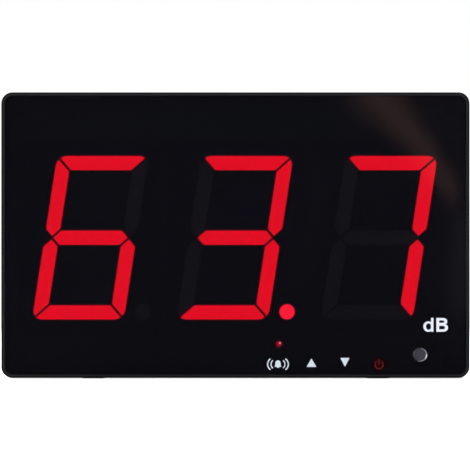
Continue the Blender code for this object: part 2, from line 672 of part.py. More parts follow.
def make_contacts():
    """The plates put the cells in series, from the top right terminal to the bottom right one."""
    make_contact("contact_positive", 1, [0])
    make_contact("contact_bridge_1", -1, [0, 1])
    make_contact("contact_bridge_2", 1, [1, 2])
    make_contact("contact_bridge_3", -1, [2, 3])
    make_contact("contact_negative", 1, [3])


def make_battery_door():
    """Lid over the bay; its bottom edge is round and turns on two pintles, a tongue latches its top."""
    width = REBATE_WIDTH - 2 * GAP
    height = REBATE_HEIGHT - 2 * GAP - DOOR_THICK / 2
    half_thick = DOOR_THICK / 2
    half_width = width / 2
    door = make("battery_door", "black_plastic",
                block((-half_width, -half_thick, 0.0), (half_width, half_thick, height)),
                (0.0, DOOR_Y, DOOR_HINGE_Z))
    join(door, rod(half_thick, "X", -half_width, half_width, segments=16))
    reach = half_width + PINTLE_LENGTH
    join(door, rod(PINTLE_RADIUS, "X", -reach, reach, segments=12))
    tongue_top = BAY_Z + BAY_HEIGHT / 2 - 0.4 * MM - DOOR_HINGE_Z
    join(door, block((-6 * MM, 9.5 * MM - DOOR_Y, tongue_top - 1.2 * MM), (6 * MM, 0.0, tongue_top)))
    cut(door, slab(16 * MM, 7 * MM, 0.2 * MM, DOOR_THICK, (0.0, height - 8 * MM), 3.0 * MM, 4))


# Desk stand

def make_stand():
    """Fold-out leg: a round barrel on two pins and a plate with a finger notch at its tip."""
    half_width = STAND_WIDTH / 2
    half_thick = STAND_THICK / 2
    tip_half = half_width - 4.0 * MM
    hinge = (0.0, STAND_HINGE_Y, STAND_HINGE_Z)
    outline = [(-half_width, 0.0), (-tip_half, -STAND_LENGTH), (tip_half, -STAND_LENGTH), (half_width, 0.0)]
    leg = make("stand_leg", "black_plastic", prism(outline, -half_thick, half_thick), hinge)
    join(leg, rod(STAND_BARREL, "X", -half_width, half_width))
    reach = half_width + 1.0 * MM
    bore_end = PIN_SPAN[0] - GAP
    cut(leg, rod(PIN_HOLE, "X", bore_end, reach, segments=16), rod(PIN_HOLE, "X", -reach, -bore_end, segments=16))
    cut(leg, rod(7.0 * MM, "Y", -half_thick - GAP, half_thick + GAP, (0.0, -STAND_LENGTH)))
    for name, side in (("stand_pin_left", -1), ("stand_pin_right", 1)):
        start, end = sorted((side * PIN_SPAN[0], side * PIN_SPAN[1]))
        make(name, "steel", rod(PIN_RADIUS, "X", start, end, segments=16), hinge)


def build():
    for obj in list(bpy.data.objects):
        bpy.data.objects.remove(obj, do_unlink=True)
    make_front_case()
    make_feet()
    make_rear_cover()
    make_case_screws()
    make_front_panel()
    make_microphone()
    make_alarm_led()
    make_touch_electrodes()
    make_digits()
    make_main_board()
    make_components()
    make_power_jack()
    make_cells()
    make_contacts()
    make_battery_door()
    make_stand()


build()
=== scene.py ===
# %% [markdown]
# # A sound level meter, from casing to lit digits
# This lesson dresses a working model of a wall and desk sound level meter. The model's casing, door,
# stand, screws and boards come in ready made, at their real size. What is left is how it all looks:
# the tinted panel, the glowing digits, the printed keys, the microphone, and a finish for each part.

# %% Load the model
import math

import bmesh
import bpy
from mathutils import Matrix, Vector


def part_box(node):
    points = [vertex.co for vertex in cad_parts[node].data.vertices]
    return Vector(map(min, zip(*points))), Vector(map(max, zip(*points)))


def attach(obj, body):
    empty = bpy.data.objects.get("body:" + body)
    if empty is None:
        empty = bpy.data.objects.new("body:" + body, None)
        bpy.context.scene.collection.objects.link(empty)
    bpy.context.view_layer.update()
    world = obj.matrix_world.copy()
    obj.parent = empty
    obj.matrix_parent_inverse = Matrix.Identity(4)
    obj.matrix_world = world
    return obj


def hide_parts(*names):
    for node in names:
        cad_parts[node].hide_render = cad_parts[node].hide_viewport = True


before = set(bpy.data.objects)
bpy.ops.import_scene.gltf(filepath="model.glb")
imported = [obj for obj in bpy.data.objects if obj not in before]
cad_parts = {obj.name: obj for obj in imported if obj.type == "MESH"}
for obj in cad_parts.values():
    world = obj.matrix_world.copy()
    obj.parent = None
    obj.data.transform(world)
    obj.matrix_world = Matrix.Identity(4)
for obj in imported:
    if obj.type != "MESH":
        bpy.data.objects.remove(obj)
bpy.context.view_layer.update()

# %% [markdown]
# ## Where things are
# A new piece takes its depth and most of its position from the part it stands for. `box_of` gives the
# middle and the two corners of a part. The printed marks stand for no part, so `on_front` places them
# from the casing's middle. The front faces -Y, so a plate's front is its lowest Y.

# %% Places read from the model
MM = 0.001
EPSILON = 0.01 * MM


def box_of(name):
    low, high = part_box(name)
    return (low + high) / 2, low, high


case_mid, case_low, case_high = box_of("front_case")
panel_mid, panel_low, panel_high = box_of("front_panel")
PANEL_FRONT = panel_low.y
PANEL_BACK = panel_high.y
CASE_WIDTH = case_high.x - case_low.x
print("casing middle in mm:", [round(1000 * v, 2) for v in case_mid])


def on_front(x, z):
    """A place on the front, given in millimetres from the casing's middle."""
    return (case_mid.x + x * MM, case_mid.z + z * MM)


# %% [markdown]
# ## Camera
# A long lens far away keeps the front square and its sides hidden, as in a catalogue picture. The lens
# is worked out from the width that has to fill the frame.

# %% Camera
SENSOR = 36.0
CAMERA_DISTANCE = 3.0
FRAME_MARGIN = 1.0037            # frame width over casing width
AIM_OFFSET = (-0.2 * MM, 0.05 * MM)

camera_data = bpy.data.cameras.new("camera")
camera_data.sensor_width = SENSOR
camera_data.lens = SENSOR * CAMERA_DISTANCE / (CASE_WIDTH * FRAME_MARGIN)
camera_data.clip_end = 20.0
camera = bpy.data.objects.new("camera", camera_data)
camera.location = (case_mid.x + AIM_OFFSET[0], case_low.y - CAMERA_DISTANCE, case_mid.z + AIM_OFFSET[1])
camera.rotation_euler = (math.radians(90), 0.0, 0.0)
bpy.context.scene.collection.objects.link(camera)
bpy.context.scene.camera = camera
bpy.context.scene.view_settings.view_transform = "Standard"
print("lens:", round(camera_data.lens), "mm")

# %% [markdown]
# ## Wiring nodes
# Every material is a small tree of nodes. `Nodes` adds one node in one call: its settings are named, and
# its inputs are given as values or as the outputs that feed them. The other methods wrap the few nodes
# that come back again and again.

# %% Node helper


class Nodes:
    """Adds and joins nodes in one shader tree."""

    def __init__(self, tree):
        self.tree = tree

    def feed(self, value, socket):
        if isinstance(value, bpy.types.NodeSocket):
            self.tree.links.new(value, socket)
        else:
            socket.default_value = value

    def add(self, kind, inputs=None, **settings):
        node = self.tree.nodes.new(kind)
        for key, value in settings.items():
            setattr(node, key, value)
        for label, value in (inputs or {}).items():
            self.feed(value, node.inputs[label])
        return node

    def maths(self, operation, first, second, clamp=False):
        node = self.add("ShaderNodeMath", {0: first, 1: second}, operation=operation, use_clamp=clamp)
        return node.outputs["Value"]

    def ramp(self, value, start, end, low=0.0, high=1.0, blend="LINEAR"):
        """Carry a value from the range start..end to the range low..high, and stop it there."""
        inputs = {"Value": value, "From Min": start, "From Max": end, "To Min": low, "To Max": high}
        return self.add("ShaderNodeMapRange", inputs, interpolation_type=blend).outputs["Result"]

    def coordinates(self):
        return self.add("ShaderNodeTexCoord").outputs["Object"]

    def noise(self, scale, detail=3.0, roughness=0.5, stretch=None):
        """Noise on object coordinates; the scale is in cycles per metre."""
        place = self.coordinates()
        if stretch:
            place = self.add("ShaderNodeMapping", {"Vector": place, "Scale": stretch}).outputs["Vector"]
        inputs = {"Vector": place, "Scale": scale, "Detail": detail, "Roughness": roughness}
        return self.add("ShaderNodeTexNoise", inputs).outputs["Fac"]

    def shade(self, mask, first, second, output):
        """Mix two shaders into the tree's output."""
        mix = self.add("ShaderNodeMixShader", {"Fac": mask, 1: first.outputs[0], 2: second.outputs[0]})
        self.add(output, {"Surface": mix.outputs[0]})


# %% [markdown]
# ## Studio
# The object is black, so the room has to be quiet: a glossy black panel shows whatever stands before it.
# The camera sees a white room, but reflections see a dim one, and soft lamps stand to the sides, above
# and behind, where they draw edges without washing out the front.

# %% World and floor
WHITE = (1.0, 1.0, 1.0, 1.0)
COOL_GREY = (0.78, 0.82, 1.0, 1.0)
ROOM_LIGHT = 0.06
PALE_FLOOR = (0.86, 0.86, 0.86)
FLOOR_GLOW = 0.5                 # keeps the shadow under the casing pale
FLOOR_HALF = 1.6


def link_object(name, data):
    made = bpy.data.objects.new(name, data)
    bpy.context.scene.collection.objects.link(made)
    return made


def mesh_from(name, bm, material):
    mesh = bpy.data.meshes.new(name)
    bm.to_mesh(mesh)
    bm.free()
    mesh.materials.append(material)
    return mesh


def new_material(name, colour, roughness, **sockets):
    """A material and its Principled shader; a socket is named with _ for each space."""
    material = bpy.data.materials.new(name)
    material.use_nodes = True
    shader = material.node_tree.nodes["Principled BSDF"]
    shader.inputs["Base Color"].default_value = (*colour, 1.0)
    shader.inputs["Roughness"].default_value = roughness
    for label, value in sockets.items():
        shader.inputs[label.replace("_", " ")].default_value = value
    return material, shader


def make_world():
    world = bpy.data.worlds.new("studio")
    world.use_nodes = True
    world.node_tree.nodes.clear()
    nodes = Nodes(world.node_tree)
    seen = nodes.add("ShaderNodeBackground", {"Color": WHITE})
    unseen = nodes.add("ShaderNodeBackground", {"Color": COOL_GREY, "Strength": ROOM_LIGHT})
    is_camera = nodes.add("ShaderNodeLightPath").outputs["Is Camera Ray"]
    nodes.shade(is_camera, unseen, seen, "ShaderNodeOutputWorld")
    bpy.context.scene.world = world


def make_floor():
    bm = bmesh.new()
    bmesh.ops.create_grid(bm, x_segments=1, y_segments=1, size=FLOOR_HALF)
    material, _ = new_material("pale_floor", PALE_FLOOR, 0.9, Specular_IOR_Level=0.1,
                               Emission_Color=WHITE, Emission_Strength=FLOOR_GLOW)
    floor = link_object("floor", mesh_from("floor", bm, material))
    floor.visible_glossy = False


make_world()
make_floor()
print("floor half width in m:", FLOOR_HALF)

# %% [markdown]
# ### Lamps
# Each lamp is a soft panel aimed at the middle of the casing. Two stand behind, so that the back reads
# as clearly as the front.

# %% Lamps
LAMPS = {
    # place, size, power, and whether polished parts mirror it
    "lamp_left": ((-1.5, -0.2, 0.45), 0.7, 16.0, True),
    "lamp_upper_right": ((0.9, -1.1, 1.25), 0.5, 12.0, False),
    "lamp_above": ((-0.2, 0.3, 1.7), 1.1, 22.0, True),
    "lamp_back_left": ((-1.0, 1.2, 0.9), 0.9, 20.0, True),
    "lamp_back_right": ((1.2, 1.1, 0.5), 0.8, 16.0, True),
}


def make_lamp(name, place, size, power, mirrored):
    lamp = bpy.data.lights.new(name, "AREA")
    lamp.size = size
    lamp.energy = power
    made = link_object(name, lamp)
    made.location = place
    made.rotation_euler = (case_mid - Vector(place)).to_track_quat("-Z", "Y").to_euler()
    made.visible_camera = False
    made.visible_glossy = mirrored


for lamp_name, settings in LAMPS.items():
    make_lamp(lamp_name, *settings)
print("lamps:", len(LAMPS))

# %% [markdown]
# ### Reflection cards
# The real panel mirrors a little of the room: a soft brown band over the top right corner and a few
# fainter grey ones. Bent ribbons of soft light stand in front of the meter to make them, and only
# reflections see them. A ribbon stands where the panel's mirror image would put it, so its stations are
# written as places on the panel: x and z from the casing's middle and half the width there, all in mm.
# The last card is a half ring far out on the left, which only the slope of the microphone's rim can see.

# %% Reflection cards
CARD_DISTANCE = 0.7
RIM_CARD_CENTRE = (86.0, -55.0)
RIM_CARD_RADIUS = 1400.0
RIM_CARD_HALF = 260.0
RIM_CARD_TURNS = [math.radians(turn) for turn in range(75, 286, 15)]
CARDS = {
    "card_brown": ([(54, 79, 21), (65, 65, 18), (76, 53, 14), (86, 42, 11), (94, 30, 9), (101, 18, 6.5),
                    (104, 8, 5)], (0.68, 0.38, 0.32)),
    "card_corner": ([(84, 76, 16), (98, 58, 17), (108, 36, 12), (112, 12, 10)], (0.09, 0.08, 0.10)),
    "card_side": ([(106, 22, 8), (107, 2, 12), (106, -18, 13), (102, -44, 9)], (0.20, 0.18, 0.20)),
    "card_streak": ([(36, 46, 4), (39, 14, 4), (32, -9, 3.5), (27, -34, 3)], (0.10, 0.09, 0.11)),
    "card_blue": ([(-8, 12, 3), (7, 12, 5), (22, 12, 3)], (0.05, 0.05, 0.13)),
    "card_floor": ([(-112, -58, 14), (-40, -60, 10), (40, -60, 10), (112, -56, 16)], (0.05, 0.05, 0.06)),
    "card_rim": ([(RIM_CARD_CENTRE[0] + RIM_CARD_RADIUS * math.cos(turn),
                   RIM_CARD_CENTRE[1] + RIM_CARD_RADIUS * math.sin(turn), RIM_CARD_HALF)
                  for turn in RIM_CARD_TURNS], (3.6, 3.6, 3.7)),
}


def glow_material(name, colour):
    """Light that fades to nothing at both ends and both sides of a ribbon."""
    material = bpy.data.materials.new(name)
    material.use_nodes = True
    material.node_tree.nodes.clear()
    nodes = Nodes(material.node_tree)
    place = nodes.add("ShaderNodeTexCoord").outputs["UV"]
    parts = nodes.add("ShaderNodeSeparateXYZ", {"Vector": place})
    ends, sides = (nodes.ramp(nodes.maths("PINGPONG", parts.outputs[axis], 0.5), 0.0, reach,
                              blend="SMOOTHSTEP") for axis, reach in (("X", 0.175), ("Y", 0.5)))
    clear = nodes.add("ShaderNodeBsdfTransparent")
    glow = nodes.add("ShaderNodeEmission", {"Color": (*colour, 1.0)})
    nodes.shade(nodes.maths("MULTIPLY", ends, sides), clear, glow, "ShaderNodeOutputMaterial")
    return material


def make_card(name, stations, colour):
    """A flat ribbon through the stations, with U along it and V across it."""
    spread = 1.0 + CARD_DISTANCE / CAMERA_DISTANCE
    bm = bmesh.new()
    uv = bm.loops.layers.uv.new("UVMap")
    rows = []
    for index, (x, z, half) in enumerate(stations):
        before = stations[max(0, index - 1)]
        after = stations[min(len(stations) - 1, index + 1)]
        across = Vector((after[1] - before[1], before[0] - after[0])).normalized() * half
        rows.append([bm.verts.new((x + side * across.x, 0.0, z + side * across.y))
                     for side in (-1, 0, 1)])
    for index, (near, far) in enumerate(zip(rows, rows[1:])):
        for side in (0, 1):
            face = bm.faces.new((near[side], near[side + 1], far[side + 1], far[side]))
            for loop, (along, across) in zip(face.loops, ((0, 0), (0, 1), (1, 1), (1, 0))):
                loop[uv].uv = ((index + along) / (len(rows) - 1), (side + across) / 2)
    card = link_object(name, mesh_from(name, bm, glow_material(name, colour)))
    card.scale = (MM * spread, 1.0, MM * spread)
    card.location = (case_mid.x, case_low.y - CARD_DISTANCE, case_mid.z)
    card.visible_camera = False
    card.visible_diffuse = False
    card.visible_transmission = False
    card.visible_shadow = False


for card_name, (stations, colour) in CARDS.items():
    make_card(card_name, stations, colour)
print("cards:", len(CARDS))

# %% [markdown]
# ## Effects shared by several finishes
# A node group holds an effect once, with named inputs, and each material sets its own values. These
# groups only put out numbers. The shader itself stays in the material.

# %% Node group helper


class Group(Nodes):
    """A shader node group under construction."""

    def __init__(self, name, inputs, outputs):
        super().__init__(bpy.data.node_groups.new(name, "ShaderNodeTree"))
        for label, value in inputs.items():
            self.socket(label, "INPUT").default_value = value
        for label in outputs:
            self.socket(label, "OUTPUT")
        self.source = self.add("NodeGroupInput").outputs
        self.result = self.add("NodeGroupOutput").inputs

    def socket(self, label, way):
        return self.tree.interface.new_socket(name=label, in_out=way, socket_type="NodeSocketFloat")

    def give(self, **results):
        for label, value in results.items():
            self.feed(value, self.result[label])


# %% [markdown]
# ### Moulded grain
# A spark-eroded mould leaves a fine, even grain on a plastic casing. Two noises of different size make
# it, and a slow third one drifts the gloss, because no moulding is even all over.

# %% Moulded grain
grain = Group("moulded_grain", {"Scale": 2200.0}, ["Height", "Drift"])
coarse = grain.noise(grain.source["Scale"], 3.0, 0.6)
fine = grain.noise(grain.maths("MULTIPLY", grain.source["Scale"], 2.6), 1.0)
grain.give(Height=grain.maths("ADD", coarse, grain.maths("MULTIPLY", fine, 0.5)),
           Drift=grain.noise(26.0, 3.0, 0.6))

# %% [markdown]
# ### Worn edges and painted edge highlight
# Hands polish the edges of a casing, and the same lighter edges also serve as a painted highlight.
# The Bevel node gives the normal that a rounded edge would have. Where that differs from the flat normal
# there is an edge, and a noise breaks the line up.

# %% Worn edges and painted edge highlight
wear_and_edge_highlight = Group("worn_edges_and_highlight", {"Radius": 0.5 * MM, "Strength": 2.0}, ["Mask"])
rounded = wear_and_edge_highlight.add("ShaderNodeBevel", {"Radius": wear_and_edge_highlight.source["Radius"]}, samples=4)
flat = wear_and_edge_highlight.add("ShaderNodeNewGeometry")
compare = wear_and_edge_highlight.add("ShaderNodeVectorMath", {0: rounded.outputs["Normal"], 1: flat.outputs["Normal"]},
                   operation="DOT_PRODUCT")
edge = wear_and_edge_highlight.maths("SUBTRACT", 1.0, compare.outputs["Value"], clamp=True)
patches = wear_and_edge_highlight.maths("MULTIPLY", wear_and_edge_highlight.noise(180.0, 4.0, 0.65), wear_and_edge_highlight.source["Strength"])
wear_and_edge_highlight.give(Mask=wear_and_edge_highlight.maths("MULTIPLY", edge, patches, clamp=True))

# %% [markdown]
# ### Settled dust
# Dust lies on what faces up, in patches. The mask is the upward part of the normal times a noise.

# %% Settled dust
dust = Group("settled_dust", {"Amount": 0.4}, ["Mask"])
upward = dust.add("ShaderNodeSeparateXYZ", {"Vector": dust.add("ShaderNodeNewGeometry").outputs["Normal"]})
facing_up = dust.maths("MULTIPLY", dust.maths("MAXIMUM", upward.outputs["Z"], 0.0), dust.source["Amount"])
dust.give(Mask=dust.maths("MULTIPLY", facing_up, dust.noise(420.0, 5.0, 0.7), clamp=True))

# %% [markdown]
# ### Hand smears
# A polished panel is never perfectly clean. Long soft noise makes the faint smears that only show
# where something bright is mirrored. A few specks of dust sit in random cells of a Voronoi pattern.

# %% Hand smears
smears = Group("hand_smears", {"Scale": 30.0}, ["Haze", "Specks"])
long_marks = smears.noise(smears.source["Scale"], 4.0, 0.6, stretch=(1.0, 1.0, 0.35))
short_marks = smears.noise(smears.maths("MULTIPLY", smears.source["Scale"], 5.0), 2.0)
cells = smears.add("ShaderNodeTexVoronoi", {"Vector": smears.coordinates(), "Scale": 110.0})
chance = smears.add("ShaderNodeSeparateXYZ", {"Vector": cells.outputs["Color"]}).outputs
near = smears.maths("LESS_THAN", cells.outputs["Distance"], smears.maths("MULTIPLY", chance["Y"], 0.045))
smears.give(Haze=smears.maths("MULTIPLY", long_marks, short_marks),
            Specks=smears.maths("MULTIPLY", near, smears.maths("GREATER_THAN", chance["X"], 0.8)))

# %% [markdown]
# ### Drawn metal
# Rolled and drawn metal carries fine lines along its length. Noise stretched along X makes them.

# %% Drawn metal
drawn = Group("drawn_metal", {"Scale": 900.0}, ["Height"])
drawn.give(Height=drawn.noise(drawn.source["Scale"], 2.0, 0.5, stretch=(0.06, 1.0, 1.0)))
print("node groups:", len(bpy.data.node_groups))

# %% [markdown]
# ## Finishes
# `Finish` wraps a material: `place` puts one of the groups above into it, `tint` lets a mask move the
# colour from one value to another, `roughen` does the same for the gloss, and `emboss` feeds a height
# into a Bump node over a Bevel node, so that sharp model edges catch light as moulded ones do. `ramp`
# and `around` make masks, from a value and from the distance to a point.

# %% The finish helper


class Finish(Nodes):
    """A material under construction, over its Principled shader."""

    def __init__(self, name, colour, roughness, metallic=0.0, **sockets):
        self.material, self.shader = new_material(name, colour, roughness, Metallic=metallic, **sockets)
        self.colour = colour
        super().__init__(self.material.node_tree)

    def set(self, label, value):
        self.feed(value, self.shader.inputs[label])

    def place(self, group, **values):
        return self.add("ShaderNodeGroup", values, node_tree=group.tree).outputs

    def mix(self, mask, start, end):
        first, second = (value if isinstance(value, bpy.types.NodeSocket) else (*value, 1.0)
                         for value in (start, end))
        node = self.add("ShaderNodeMix", {"Factor": mask, "A": first, "B": second}, data_type="RGBA")
        return node.outputs["Result"]

    def around(self, centre, far, close):
        """A soft mask round a point: white within `close` of it, black beyond `far`."""
        away = self.add("ShaderNodeVectorMath", {0: self.coordinates(), 1: centre}, operation="DISTANCE")
        return self.ramp(away.outputs["Value"], far, close, blend="SMOOTHSTEP")

    def tint(self, mask, end):
        """Move the colour towards `end` where the mask is white; calls may follow each other."""
        socket = self.shader.inputs["Base Color"]
        start = socket.links[0].from_socket if socket.is_linked else self.colour
        self.feed(self.mix(mask, start, end), socket)

    def roughen(self, mask, low, high):
        self.set("Roughness", self.ramp(mask, 0.0, 1.0, low, high))

    def emboss(self, height, depth, round_edges=0.0):
        inputs = {"Height": height, "Distance": depth}
        if round_edges:
            rounded = self.add("ShaderNodeBevel", {"Radius": round_edges}, samples=6)
            inputs["Normal"] = rounded.outputs["Normal"]
        self.set("Normal", self.add("ShaderNodeBump", inputs).outputs["Normal"])


# %% [markdown]
# ### Casing plastic
# Black ABS with a satin grain. The edges are a shade lighter, partly where they are rubbed and partly as a
# painted highlight, and a trace of dust lies on the top.

# %% Casing plastic
SATIN_GLOSS = 0.3
EDGE_GLOSS = 0.05


def moulded_plastic(name, colour, roughness, grain_scale=2200.0, depth=0.02 * MM, round_edges=0.35 * MM):
    finish = Finish(name, colour, roughness, Specular_IOR_Level=SATIN_GLOSS)
    texture = finish.place(grain, Scale=grain_scale)
    # Lighter edges: rubbed wear, and partly a painted edge highlight.
    finish.tint(finish.place(wear_and_edge_highlight, Strength=0.8)["Mask"], tuple(2.2 * c + 0.004 for c in colour))
    finish.tint(finish.place(dust, Amount=0.10)["Mask"], (0.20, 0.19, 0.18))
    finish.roughen(texture["Drift"], roughness - 0.08, roughness + 0.10)
    finish.emboss(texture["Height"], depth, round_edges)
    return finish


def shell_plastic():
    """The casing's plastic: deep black round the front edge as painted shade, with the proud lip a lighter
    grey as a painted highlight.
    """
    finish = moulded_plastic("casing_plastic", (0.009, 0.009, 0.010), 0.42)
    parts = finish.add("ShaderNodeSeparateXYZ", {"Vector": finish.coordinates()})

    def nearer_than(depth, blend):
        return finish.ramp(parts.outputs["Y"], case_low.y + depth + blend, case_low.y + depth)

    front_edge_painted_shade = nearer_than(0.9 * MM, 0.8 * MM)
    # Painted shade: the front edge is darkened near to black, and its gloss is dulled.
    finish.tint(front_edge_painted_shade, (0.0025, 0.0025, 0.003))
    # Painted highlight: the very front of the lip is a lighter grey line.
    finish.tint(nearer_than(0.005 * MM, 0.02 * MM), (0.026, 0.026, 0.029))
    finish.set("Specular IOR Level", finish.ramp(front_edge_painted_shade, 0.0, 1.0, SATIN_GLOSS, EDGE_GLOSS))
    return finish.material


casing_plastic = shell_plastic()
print("casing finish:", casing_plastic.name)
chip_epoxy = moulded_plastic("chip_epoxy", (0.016, 0.016, 0.017), 0.55, 5200.0, 0.01 * MM,
                             0.15 * MM).material
ivory_nylon = moulded_plastic("ivory_nylon", (0.72, 0.68, 0.56), 0.48, 3000.0).material

# %% [markdown]
# ### Tinted acrylic
# The panel is a dark tinted sheet, polished on both sides. Most light is lost in it, so unlit parts
# behind it nearly vanish, while bright digits come through. Alpha gives exactly that: a fixed share of
# what lies behind, with the gloss kept on the surface.

# %% Tinted acrylic
PANEL_ALPHA = 0.72


def tinted_acrylic():
    finish = Finish("tinted_acrylic", (0.0034, 0.0031, 0.0054), 0.035, IOR=1.49, Alpha=PANEL_ALPHA)
    marks = finish.place(smears, Scale=34.0)
    finish.roughen(marks["Haze"], 0.02, 0.12)
    finish.tint(marks["Haze"], (0.0048, 0.0045, 0.0070))
    finish.tint(marks["Specks"], (0.030, 0.029, 0.034))
    return finish.material


panel_acrylic = tinted_acrylic()
print("light through both faces:", round((1 - PANEL_ALPHA) ** 2, 3))

# %% [markdown]
# ### Segments
# A lit segment is a frosted light pipe over red LEDs. Its glow is even, with a slight mottle. An unlit
# one is the same resin with no light in it.

# %% Segments


def lit_resin(name, colour, strength):
    finish = Finish(name, (0.3, 0.004, 0.008), 0.5, Emission_Strength=strength)
    mottle = finish.noise(170.0, 4.0)
    glow = finish.mix(mottle, tuple(0.92 * c for c in colour), tuple(1.08 * c for c in colour))
    finish.set("Emission Color", glow)
    finish.emboss(finish.noise(900.0, 2.0), 0.01 * MM)
    return finish.material


def frosted_resin(name, colour):
    finish = Finish(name, colour, 0.45)
    finish.tint(finish.noise(260.0, 3.0), tuple(1.25 * c for c in colour))
    finish.emboss(finish.noise(1500.0, 2.0), 0.01 * MM, 0.1 * MM)
    return finish.material


lit_segment = lit_resin("lit_segment", (1.0, 0.0012, 0.0155), 9.3)
lit_dot = lit_resin("lit_dot", (1.0, 0.008, 0.033), 12.1)
leaked_light = lit_resin("leaked_light", (1.0, 0.002, 0.004), 0.55)
dark_segment = frosted_resin("dark_segment", (0.34, 0.32, 0.34))
display_face = moulded_plastic("display_face", (0.006, 0.006, 0.008), 0.7, 3600.0, 0.01 * MM,
                               0.1 * MM).material

# %% [markdown]
# ### Print, metal, rubber and the rest
# The keys are printed and lit from behind: white ones glow a little, the power key is a dull red. The
# metals share the drawn lines. Each remaining finish takes its colour variation from noise.

# %% Print


def printed_ink(name, colour, glow):
    finish = Finish(name, colour, 0.6, Emission_Strength=glow, Specular_IOR_Level=0.1)
    speck = finish.noise(1400.0, 2.0)
    finish.tint(speck, tuple(min(1.0, 1.06 * c) for c in colour))
    finish.set("Emission Color", finish.mix(speck, tuple(0.97 * c for c in colour), colour))
    finish.emboss(speck, 0.004 * MM)
    return finish.material


unit_ink = printed_ink("unit_ink", (0.58, 0.60, 0.655), 0.43)
key_ink = printed_ink("key_ink", (0.49, 0.54, 0.59), 0.5)
red_ink = printed_ink("red_ink", (0.052, 0.009, 0.011), 0.7)


def red_halo():
    """The faint glow that a backlit key leaves round its mark, painted as a disc that fades out to its rim.
    """
    finish = Finish("red_halo", (0.004, 0.0, 0.0), 0.5, Emission_Strength=1.0, Alpha=0.0,
                    Specular_IOR_Level=0.0, Emission_Color=(0.022, 0.0004, 0.0012, 1.0))
    centre = (POWER_AT[0], PANEL_FRONT, POWER_AT[1])
    finish.set("Alpha", finish.around(centre, HALO_RADIUS, 0.4 * HALO_RADIUS))
    return finish.material


POWER_AT = on_front(66.5, -59.9)
HALO_RADIUS = 3.4 * MM
# A painted glow round the power key's mark.
power_key_painted_glow = red_halo()

# %% Metals


def metal(name, colour, roughness, depth=0.006 * MM, round_edges=0.12 * MM, metallic=1.0):
    finish = Finish(name, colour, roughness, metallic)
    lines = finish.place(drawn)["Height"]
    finish.roughen(lines, roughness * 0.7, roughness * 1.5)
    finish.tint(finish.noise(300.0, 3.0), tuple(0.72 * c for c in colour))
    finish.emboss(lines, depth, round_edges)
    return finish.material


zinc_steel = metal("zinc_steel", (0.56, 0.57, 0.58), 0.32)
nickel_plate = metal("nickel_plate", (0.66, 0.63, 0.58), 0.22)
rim_metal = metal("rim_metal", (0.80, 0.80, 0.82), 0.24, 0.001 * MM)
mesh_wire = metal("mesh_wire", (0.38, 0.365, 0.45), 0.5, 0.002 * MM, 0.0, metallic=0.8)

# %% Rubber, foam, tape, cell wraps


def soft_matt(name, colour, roughness, scale, depth, round_edges=0.3 * MM):
    finish = Finish(name, colour, roughness)
    texture = finish.noise(scale, 4.0)
    finish.tint(texture, tuple(1.7 * c for c in colour))
    finish.tint(finish.place(dust, Amount=0.12)["Mask"], (0.2, 0.19, 0.18))
    finish.roughen(texture, roughness - 0.1, min(1.0, roughness + 0.1))
    finish.emboss(texture, depth, round_edges)
    return finish.material


foot_rubber = soft_matt("foot_rubber", (0.018, 0.018, 0.019), 0.75, 900.0, 0.03 * MM)
pillar_foam = soft_matt("pillar_foam", (0.045, 0.045, 0.048), 0.9, 1800.0, 0.2 * MM)
foam_tape = soft_matt("foam_tape", (0.014, 0.014, 0.015), 0.85, 2400.0, 0.05 * MM, 0.05 * MM)


def shrink_wrap(name, colour, metallic=0.0):
    finish = Finish(name, colour, 0.3, metallic, Coat_Weight=0.3, Coat_Roughness=0.1)
    crease = finish.noise(140.0, 4.0, stretch=(1.0, 0.4, 0.4))
    finish.tint(crease, tuple(1.35 * c for c in colour))
    finish.roughen(crease, 0.22, 0.42)
    finish.emboss(crease, 0.02 * MM)
    return finish.material


wrap_blue = shrink_wrap("wrap_blue", (0.010, 0.038, 0.12))
wrap_silver = shrink_wrap("wrap_silver", (0.30, 0.31, 0.33), 0.8)

# %% [markdown]
# ### Circuit board
# Solder mask is a translucent green lacquer over copper tracks, so the tracks read as raised, slightly
# lighter lines. A brick texture with narrow joints, laid in the board's plane, stands in for routing.

# %% Circuit board


def solder_mask():
    finish = Finish("solder_mask", (0.012, 0.085, 0.035), 0.35, Coat_Weight=0.5, Coat_Roughness=0.15)
    flat = finish.add("ShaderNodeMapping", {"Vector": finish.coordinates(),
                                            "Rotation": (math.radians(90), 0.0, 0.0)})
    tracks = finish.add("ShaderNodeTexBrick", {
        "Vector": flat.outputs["Vector"], "Scale": 120.0, "Mortar Size": 0.03, "Row Height": 0.18,
        "Brick Width": 0.9}).outputs["Fac"]
    finish.tint(tracks, (0.03, 0.17, 0.07))
    finish.tint(finish.noise(60.0), (0.016, 0.10, 0.04))
    finish.emboss(tracks, 0.03 * MM, 0.1 * MM)
    return finish.material


board_mask = solder_mask()
print("finishes:", len(bpy.data.materials))

# %% [markdown]
# ### Dressing the model's own parts
# Parts whose shape is right keep it and only get a finish.

# %% Finish the model's parts
PART_FINISHES = {
    "front_case": casing_plastic,
    "rear_cover": casing_plastic,
    "battery_door": casing_plastic,
    "stand_leg": casing_plastic,
    "panel_tape": foam_tape,
    "microphone_boot": foot_rubber,
    "microphone_capsule": nickel_plate,
    "main_board": board_mask,
    "microcontroller": chip_epoxy,
    "led_driver": chip_epoxy,
    "buzzer": chip_epoxy,
    "power_jack": chip_epoxy,
    "capacitor": wrap_blue,
    "battery_connector": ivory_nylon,
    "stand_pin": zinc_steel,
    "case_screw": zinc_steel,
    "board_screw": zinc_steel,
    "contact": nickel_plate,
    "touch_electrode": pillar_foam,
    "foot": foot_rubber,
}


def finish_of(name):
    """The finish whose key begins the part's name; the display's own parts are all black."""
    return next((finish for key, finish in PART_FINISHES.items() if name.startswith(key)), display_face)


